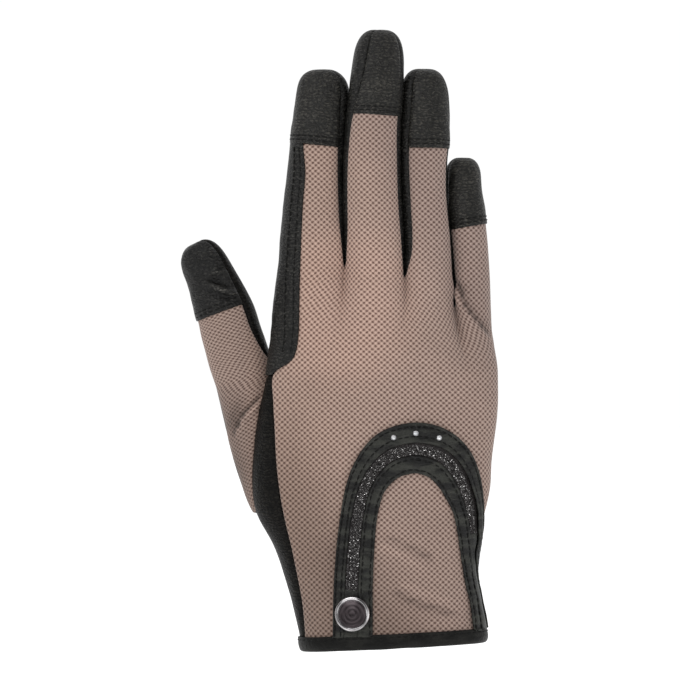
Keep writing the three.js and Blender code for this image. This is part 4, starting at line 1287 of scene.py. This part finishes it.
# How high each layer of the trim lies on the knit
OUTER_LEVEL, INNER_LEVEL, LEG_LEVEL, FAR_LEG_LEVEL = 1.25, 1.15, 1.0, 0.95
BACKING_LEVEL, GLITTER_LEVEL, STITCH_LEVEL = 0.45, 0.7, 1.3
STONE_LEVEL, BUTTON_LEVEL = 1.25, 1.2


def band_place(band, along, across):
    """The share of the whole trim at a part of the way across one of its bands."""
    split = section("trim", clamp(along))
    if band == "outer":
        return across * split["outer"]
    if band == "inner":
        return mix(split["inner"], 1, across)
    if band == "backing":
        return mix(0.03, 0.97, across)
    if band == "far":
        return mix(split["outer"] + 0.03, split["inner"] + 0.03, across)
    return mix(split["outer"] - 0.05, split["inner"] + 0.03, across)


def peel(along, across):
    """How far the outer band's free edge stands up on the leg by the little finger."""
    return 0.7 * ease((along - 0.54) / 0.1) * (1 - ease((along - 0.72) / 0.08)) * across ** 2


def crumple(along, across, amount):
    """Small cross creases of thin leather."""
    wave = noise.noise(Vector((along * 34, across * 1.6, 5)))
    fine = noise.noise(Vector((along * 85, across * 2.4, 9)))
    return amount * (1.2 * wave + 0.8 * fine)


def shoe_net(band, profile, base, run=(0, 1), rows=120, rough=0.14):
    net = []
    for along in even(*run, rows):
        row = []
        for across, height in profile:
            lift = base + height + crumple(along, across, rough)
            if band == "outer":
                lift += peel(along, across)
            row.append(on_back(shoe_flat(along, band_place(band, along, across)), lift))
        net.append(row)
    return net


def shoe_piece(name, net, nodes, slot="leather", material=TRIM_LEATHER, wall=TRIM_WALL):
    panel = Panel()
    panel.net(net, free=("left", "right", "top", "bottom"))
    panel.finish(name, nodes, slot, material, wall)


def horseshoe():
    shoe_piece("horseshoe_outer_band", shoe_net("outer", OUTER_BAND, OUTER_LEVEL, rough=0.16),
               ["horseshoe_trim"])
    shoe_piece("horseshoe_inner_band", shoe_net("inner", INNER_BAND, INNER_LEVEL, rough=0.3), [])
    shoe_piece("snap_leg", shoe_net("middle", FLAT_BAND, LEG_LEVEL, (0, 0.1), 12), [])
    shoe_piece("far_leg", shoe_net("far", FLAT_BAND, FAR_LEG_LEVEL, (0.765, 1), 30, 0.2), [])
    shoe_piece("horseshoe_backing", shoe_net("backing", FLAT_BAND, BACKING_LEVEL), [],
               material=BINDING_LEATHER, wall=BACKING_WALL)


def glitter():
    ground = shoe_net("middle", FLAT_BAND, GLITTER_LEVEL, (0.075, 0.775), 90, 0.05)
    shoe_piece("glitter_ground", ground, ["glitter_inlay"], "glitter", GLITTER_CLOTH,
               BACKING_WALL)
    chance = random.Random(11)
    bm = bmesh.new()
    while len(bm.faces) < FLAKES:
        along = mix(*GLITTER_RUN, chance.random())
        split = section("trim", along)
        # Flakes keep off a strip beside the outer band, wider towards the little finger's leg, so
        # the bare dark ground there is a painted shadow under the band's edge
        shadow_strip = mix(0.02, 0.06, ease((along - 0.4) / 0.2))
        share = mix(split["outer"] + shadow_strip, split["inner"] - 0.01, chance.random())
        thin = ease((GLITTER_RUN[1] - along) / 0.12)
        if chance.random() > thin:
            continue
        flat = shoe_flat(along, share)
        turn = Matrix.Rotation(chance.uniform(0, 6.28), 4, "Z")
        tilt = Matrix.Rotation(chance.gauss(0, 0.45), 4, "X")
        lift = mix(0.78, 1.15, ease((along - 0.745) / 0.03)) + chance.random() * 0.2
        size = chance.uniform(0.11, 0.21) * MM
        bmesh.ops.create_circle(bm, cap_ends=True, segments=5, radius=size,
                                matrix=stand_on_back(flat, lift) @ turn @ tilt)
    # Painted glints: a few flakes get a bright colour, most stay dark
    shine = bm.faces.layers.float.new("shine")
    for face in bm.faces:
        bright = chance.random()
        face[shine] = 0.8 if bright > 0.965 else 0.15 if bright > 0.74 else bright * 0.05
    new_piece("glitter_flakes", bm, [], "glitter", GLITTER_FLAKES)


# Stitches

def stitch(bm, a, b, out):
    """One stitch: a short capsule from a to b, half sunk in the cloth."""
    along = b - a
    radius = STITCH_RADIUS * MM
    stretch = Matrix.Diagonal((radius, radius, along.length / 2, 1))
    spot = Matrix.Translation((a + b) / 2 + out * radius * 0.2)
    made = bmesh.ops.create_uvsphere(bm, u_segments=7, v_segments=6, radius=1,
                                     matrix=spot @ facing(along) @ stretch)
    for face in {face for v in made["verts"] for face in v.link_faces}:
        face.smooth = True


def stitch_line(bm, names, place, first, last, pitch=2.35):
    """Stitches along place(t), laid on the named panels."""
    steps = 160
    points = [place(t) for t in even(first, last, steps)]
    run = lengths(points)

    def at(length):
        k = next((k for k in range(1, steps) if run[k] >= length), steps)
        t = (length - run[k - 1]) / max(1e-9, run[k] - run[k - 1])
        return on_surface(names, points[k - 1].lerp(points[k], t))
    count = max(1, int(run[-1] / pitch))
    step = run[-1] / count
    for k in range(count):
        a, out = at(step * (k + (1 - STITCH_SHARE) / 2))
        b, _ = at(step * (k + (1 + STITCH_SHARE) / 2))
        stitch(bm, a, b, out)


def shoe_stitches(bm):
    for band, across, first, last in (
        ("outer", 0.215, 0.0, 0.9), ("outer", 0.69, 0.0, 0.9),
        ("inner", 0.24, 0.09, 1.0), ("inner", 0.78, 0.0, 1.0),
    ):
        def place(t, band=band, across=across):
            flat = shoe_flat(clamp(t), band_place(band, clamp(t), across))
            return on_back(flat, STITCH_LEVEL)
        stitch_line(bm, ["horseshoe_" + band + "_band"], place, first, last)


def cap_stitches(bm):
    for n, finger in enumerate(FINGERS):
        runs = {INDEX: ((LEFT_SIDE, 0.45, 1.0), (BACK, 0.0, 0.97)),
                LITTLE: ((BACK, 0.03, 1.0), (RIGHT_SIDE, 0.0, 0.55))}
        for height in STITCH_ROWS:
            along = cap_start(finger) + height / finger["length"]
            for stretch, first, last in runs.get(n, ((BACK, 0.03, 0.97),)):
                def place(t, n=n, along=along, stretch=stretch):
                    return finger_point(n, along, stretch, t)
                stitch_line(bm, [finger["name"] + "_leather_cap"], place, first, last, 2.2)
    for height in STITCH_ROWS:
        along = 1 - (THUMB_CAP - height) / THUMB_LENGTH
        s = section("thumb", along)
        stitch_line(bm, ["thumb_leather_cap"], lambda angle: thumb_point(along, angle),
                    s["from"] + 22, s["to"] - 8, 2.2)


def strip_stitches(bm):
    finger = FINGERS[INDEX]
    hand_part = 0.42
    for share in (0.94, 0.78):
        def place(t, share=share):
            if t < hand_part:
                up = mix(SIDE_STRIP_END + 0.04, 1, t / hand_part)
                return palm_point(INDEX, up, LEFT_SIDE, share)
            along = (t - hand_part) / (1 - hand_part) * cap_start(finger)
            return finger_point(INDEX, along, LEFT_SIDE, share)
        stitch_line(bm, ["index_leather_strip"], place, 0.02, 0.985)


def hem_stitches(bm):
    places = hem_places()

    def place(t):
        t = (t % 1) * len(places)
        k = int(t) % len(places)
        a = hem_point(places[k], 4.75, 0.95)
        b = hem_point(places[(k + 1) % len(places)], 4.75, 0.95)
        return a.lerp(b, t - int(t))
    stitch_line(bm, ["hem_roll"], place, 0, 1, pitch=2.6)


def stitches():
    for name, make in (("horseshoe_stitches", shoe_stitches), ("cap_stitches", cap_stitches),
                       ("strip_stitches", strip_stitches), ("hem_stitches", hem_stitches)):
        bm = bmesh.new()
        make(bm)
        new_piece(name, bm, [], "leather", THREAD)


# Stones and snap

def turned(bm, profile, steps, stand, smooth=True):
    """Spins a profile of (radius, height) round its own axis and stands it on the trim."""
    verts = [bm.verts.new((r * MM, 0, h * MM)) for r, h in profile]
    edges = [bm.edges.new(pair) for pair in zip(verts, verts[1:])]
    before = set(bm.faces)
    bmesh.ops.spin(bm, geom=verts + edges, cent=(0, 0, 0), axis=(0, 0, 1),
                   angle=2 * math.pi, steps=steps, use_merge=True)
    faces = [face for face in bm.faces if face not in before]
    own = list({v for face in faces for v in face.verts})
    bmesh.ops.remove_doubles(bm, verts=own, dist=1e-7)
    own = [v for v in own if v.is_valid]
    bmesh.ops.transform(bm, matrix=stand, verts=own)
    faces = [face for face in bm.faces if face not in before]
    bmesh.ops.recalc_face_normals(bm, faces=faces)
    for face in faces:
        face.smooth = smooth
    return faces


def stones():
    names = ("stone_thumb_side", "stone_middle", "stone_little_side")
    reach = (shoe_flat(SHOE_TOP + 0.05, 0.22) - shoe_flat(SHOE_TOP - 0.05, 0.22)).length / 0.1
    band = SHOE_BAND * section("shoe", SHOE_TOP)["band"]
    for k, name in enumerate(names):
        flat = shoe_flat(SHOE_TOP + (k - 1) * 8 / reach, 4 / band)
        stand = stand_on_back(flat, STONE_LEVEL)
        bm = bmesh.new()
        turned(bm, [(0, 0), (0.94, 0), (1.0, 0.25), (0.92, 0.48), (0.8, 0.46), (0.76, 0.3),
                    (0, 0.25)], 20, stand)
        stone = turned(bm, [(0, 0.28), (0.74, 0.36), (0.78, 0.46), (0.45, 0.8), (0, 0.82)], 8,
                       stand, smooth=False)
        for face in stone:
            face.material_index = 1
        new_piece(name + "_set", bm, [name], "stone", CUP_METAL, CRYSTAL)


def snap():
    flat = Vector((shoe_flat(0.04, 0.5).x, SNAP_LEVEL))
    stand = stand_on_back(flat, BUTTON_LEVEL)
    r = SNAP_RADIUS
    bm = bmesh.new()
    rim = [(r - 2.2, 0), (r - 0.35, 0), (r, 0.45), (r, 1.05), (r - 0.12, 1.45), (r - 0.45, 1.75),
           (r - 0.85, 1.8), (r - 1.15, 1.62), (r - 1.3, 1.3), (r - 1.42, 1.12)]
    turned(bm, rim, 72, stand)
    disc = [(r - 1.42, 1.12), (r - 1.6, 1.08), (r - 1.72, 1.2), (r - 1.95, 1.26), (r - 2.2, 1.2),
            (r - 2.6, 1.06), (r - 3.4, 1.05), (r - 3.6, 1.16), (r - 3.8, 1.06),
            (1.4, 1.05), (1.2, 1.16), (1.0, 1.06), (0, 1.05)]
    for face in turned(bm, disc, 72, stand):
        face.material_index = 1
    bmesh.ops.remove_doubles(bm, verts=bm.verts, dist=1e-7)
    new_piece("snap_button", bm, ["snap_cap"], "snap", SNAP_METAL, SNAP_DISC)


knitted_back()
palm()
finger_sides()
fingertip_caps()
side_strip()
thumb()
binding()
horseshoe()
glitter()
stitches()
stones()
snap()


# Floor, light and camera

def studio():
    bm = bmesh.new()
    bmesh.ops.create_circle(bm, cap_ends=True, segments=64, radius=6)
    bmesh.ops.translate(bm, verts=bm.verts, vec=(0, 0, -0.016))
    s = new_material("pale floor")
    soft = s.noise(s.place(), 3, 1)
    white = s.finish(
        Base_Color=s.blend(soft, (0.86, 0.86, 0.86), (0.88, 0.88, 0.88)), Roughness=1.0,
        Specular_IOR_Level=0.0, Emission_Color=(1, 1, 1), Emission_Strength=0.6)
    put_mesh("floor", bm, [white])

    world = bpy.data.worlds.new("studio")
    bpy.context.scene.world = world
    s = Shader(world)
    ahead = s.parts(s.place("Generated"))[1]
    shift = s.node("ShaderNodeMapRange", {}, {"Value": ahead, "From Min": -1})
    stops = ((0.0, 0.06), (0.07, 0.09), (0.2, 0.32), (0.4, 0.38), (0.75, 1.02))
    sky = s.node("ShaderNodeValToRGB", {"stops": stops}, {0: shift})
    s.feed(s.nodes["Background"].inputs["Color"], sky)

    for name, spot, size, power in (
        ("key", (-0.45, -0.85, 1.0), 0.9, 8), ("fill", (0.85, -0.8, 0.4), 0.8, 2.4),
    ):
        light = bpy.data.lights.new(name, "AREA")
        light.size = size
        light.energy = power
        lamp = put(name, light)
        lamp.location = spot
        aim = Vector((-0.02, 0, 0.1)) - Vector(spot)
        lamp.rotation_euler = aim.to_track_quat("-Z", "Y").to_euler()


def camera():
    """The photo's frame, seen straight on."""
    lens, sensor = 300, 36
    frame_width = PHOTO_SIDE * PIXEL * MM
    data = bpy.data.cameras.new("camera")
    data.lens = lens
    data.sensor_width = sensor
    data.clip_start = 0.05
    data.clip_end = 50
    eye = put("camera", data)
    middle, (across, down) = PHOTO_SIDE / 2, ORIGIN_PIXEL
    eye.location = ((middle - across) * PIXEL * MM, -frame_width * lens / sensor,
                    (down - middle) * PIXEL * MM)
    eye.rotation_euler = (math.radians(90), 0, 0)
    bpy.context.scene.camera = eye
    bpy.context.scene.view_settings.view_transform = "Standard"


studio()
camera()
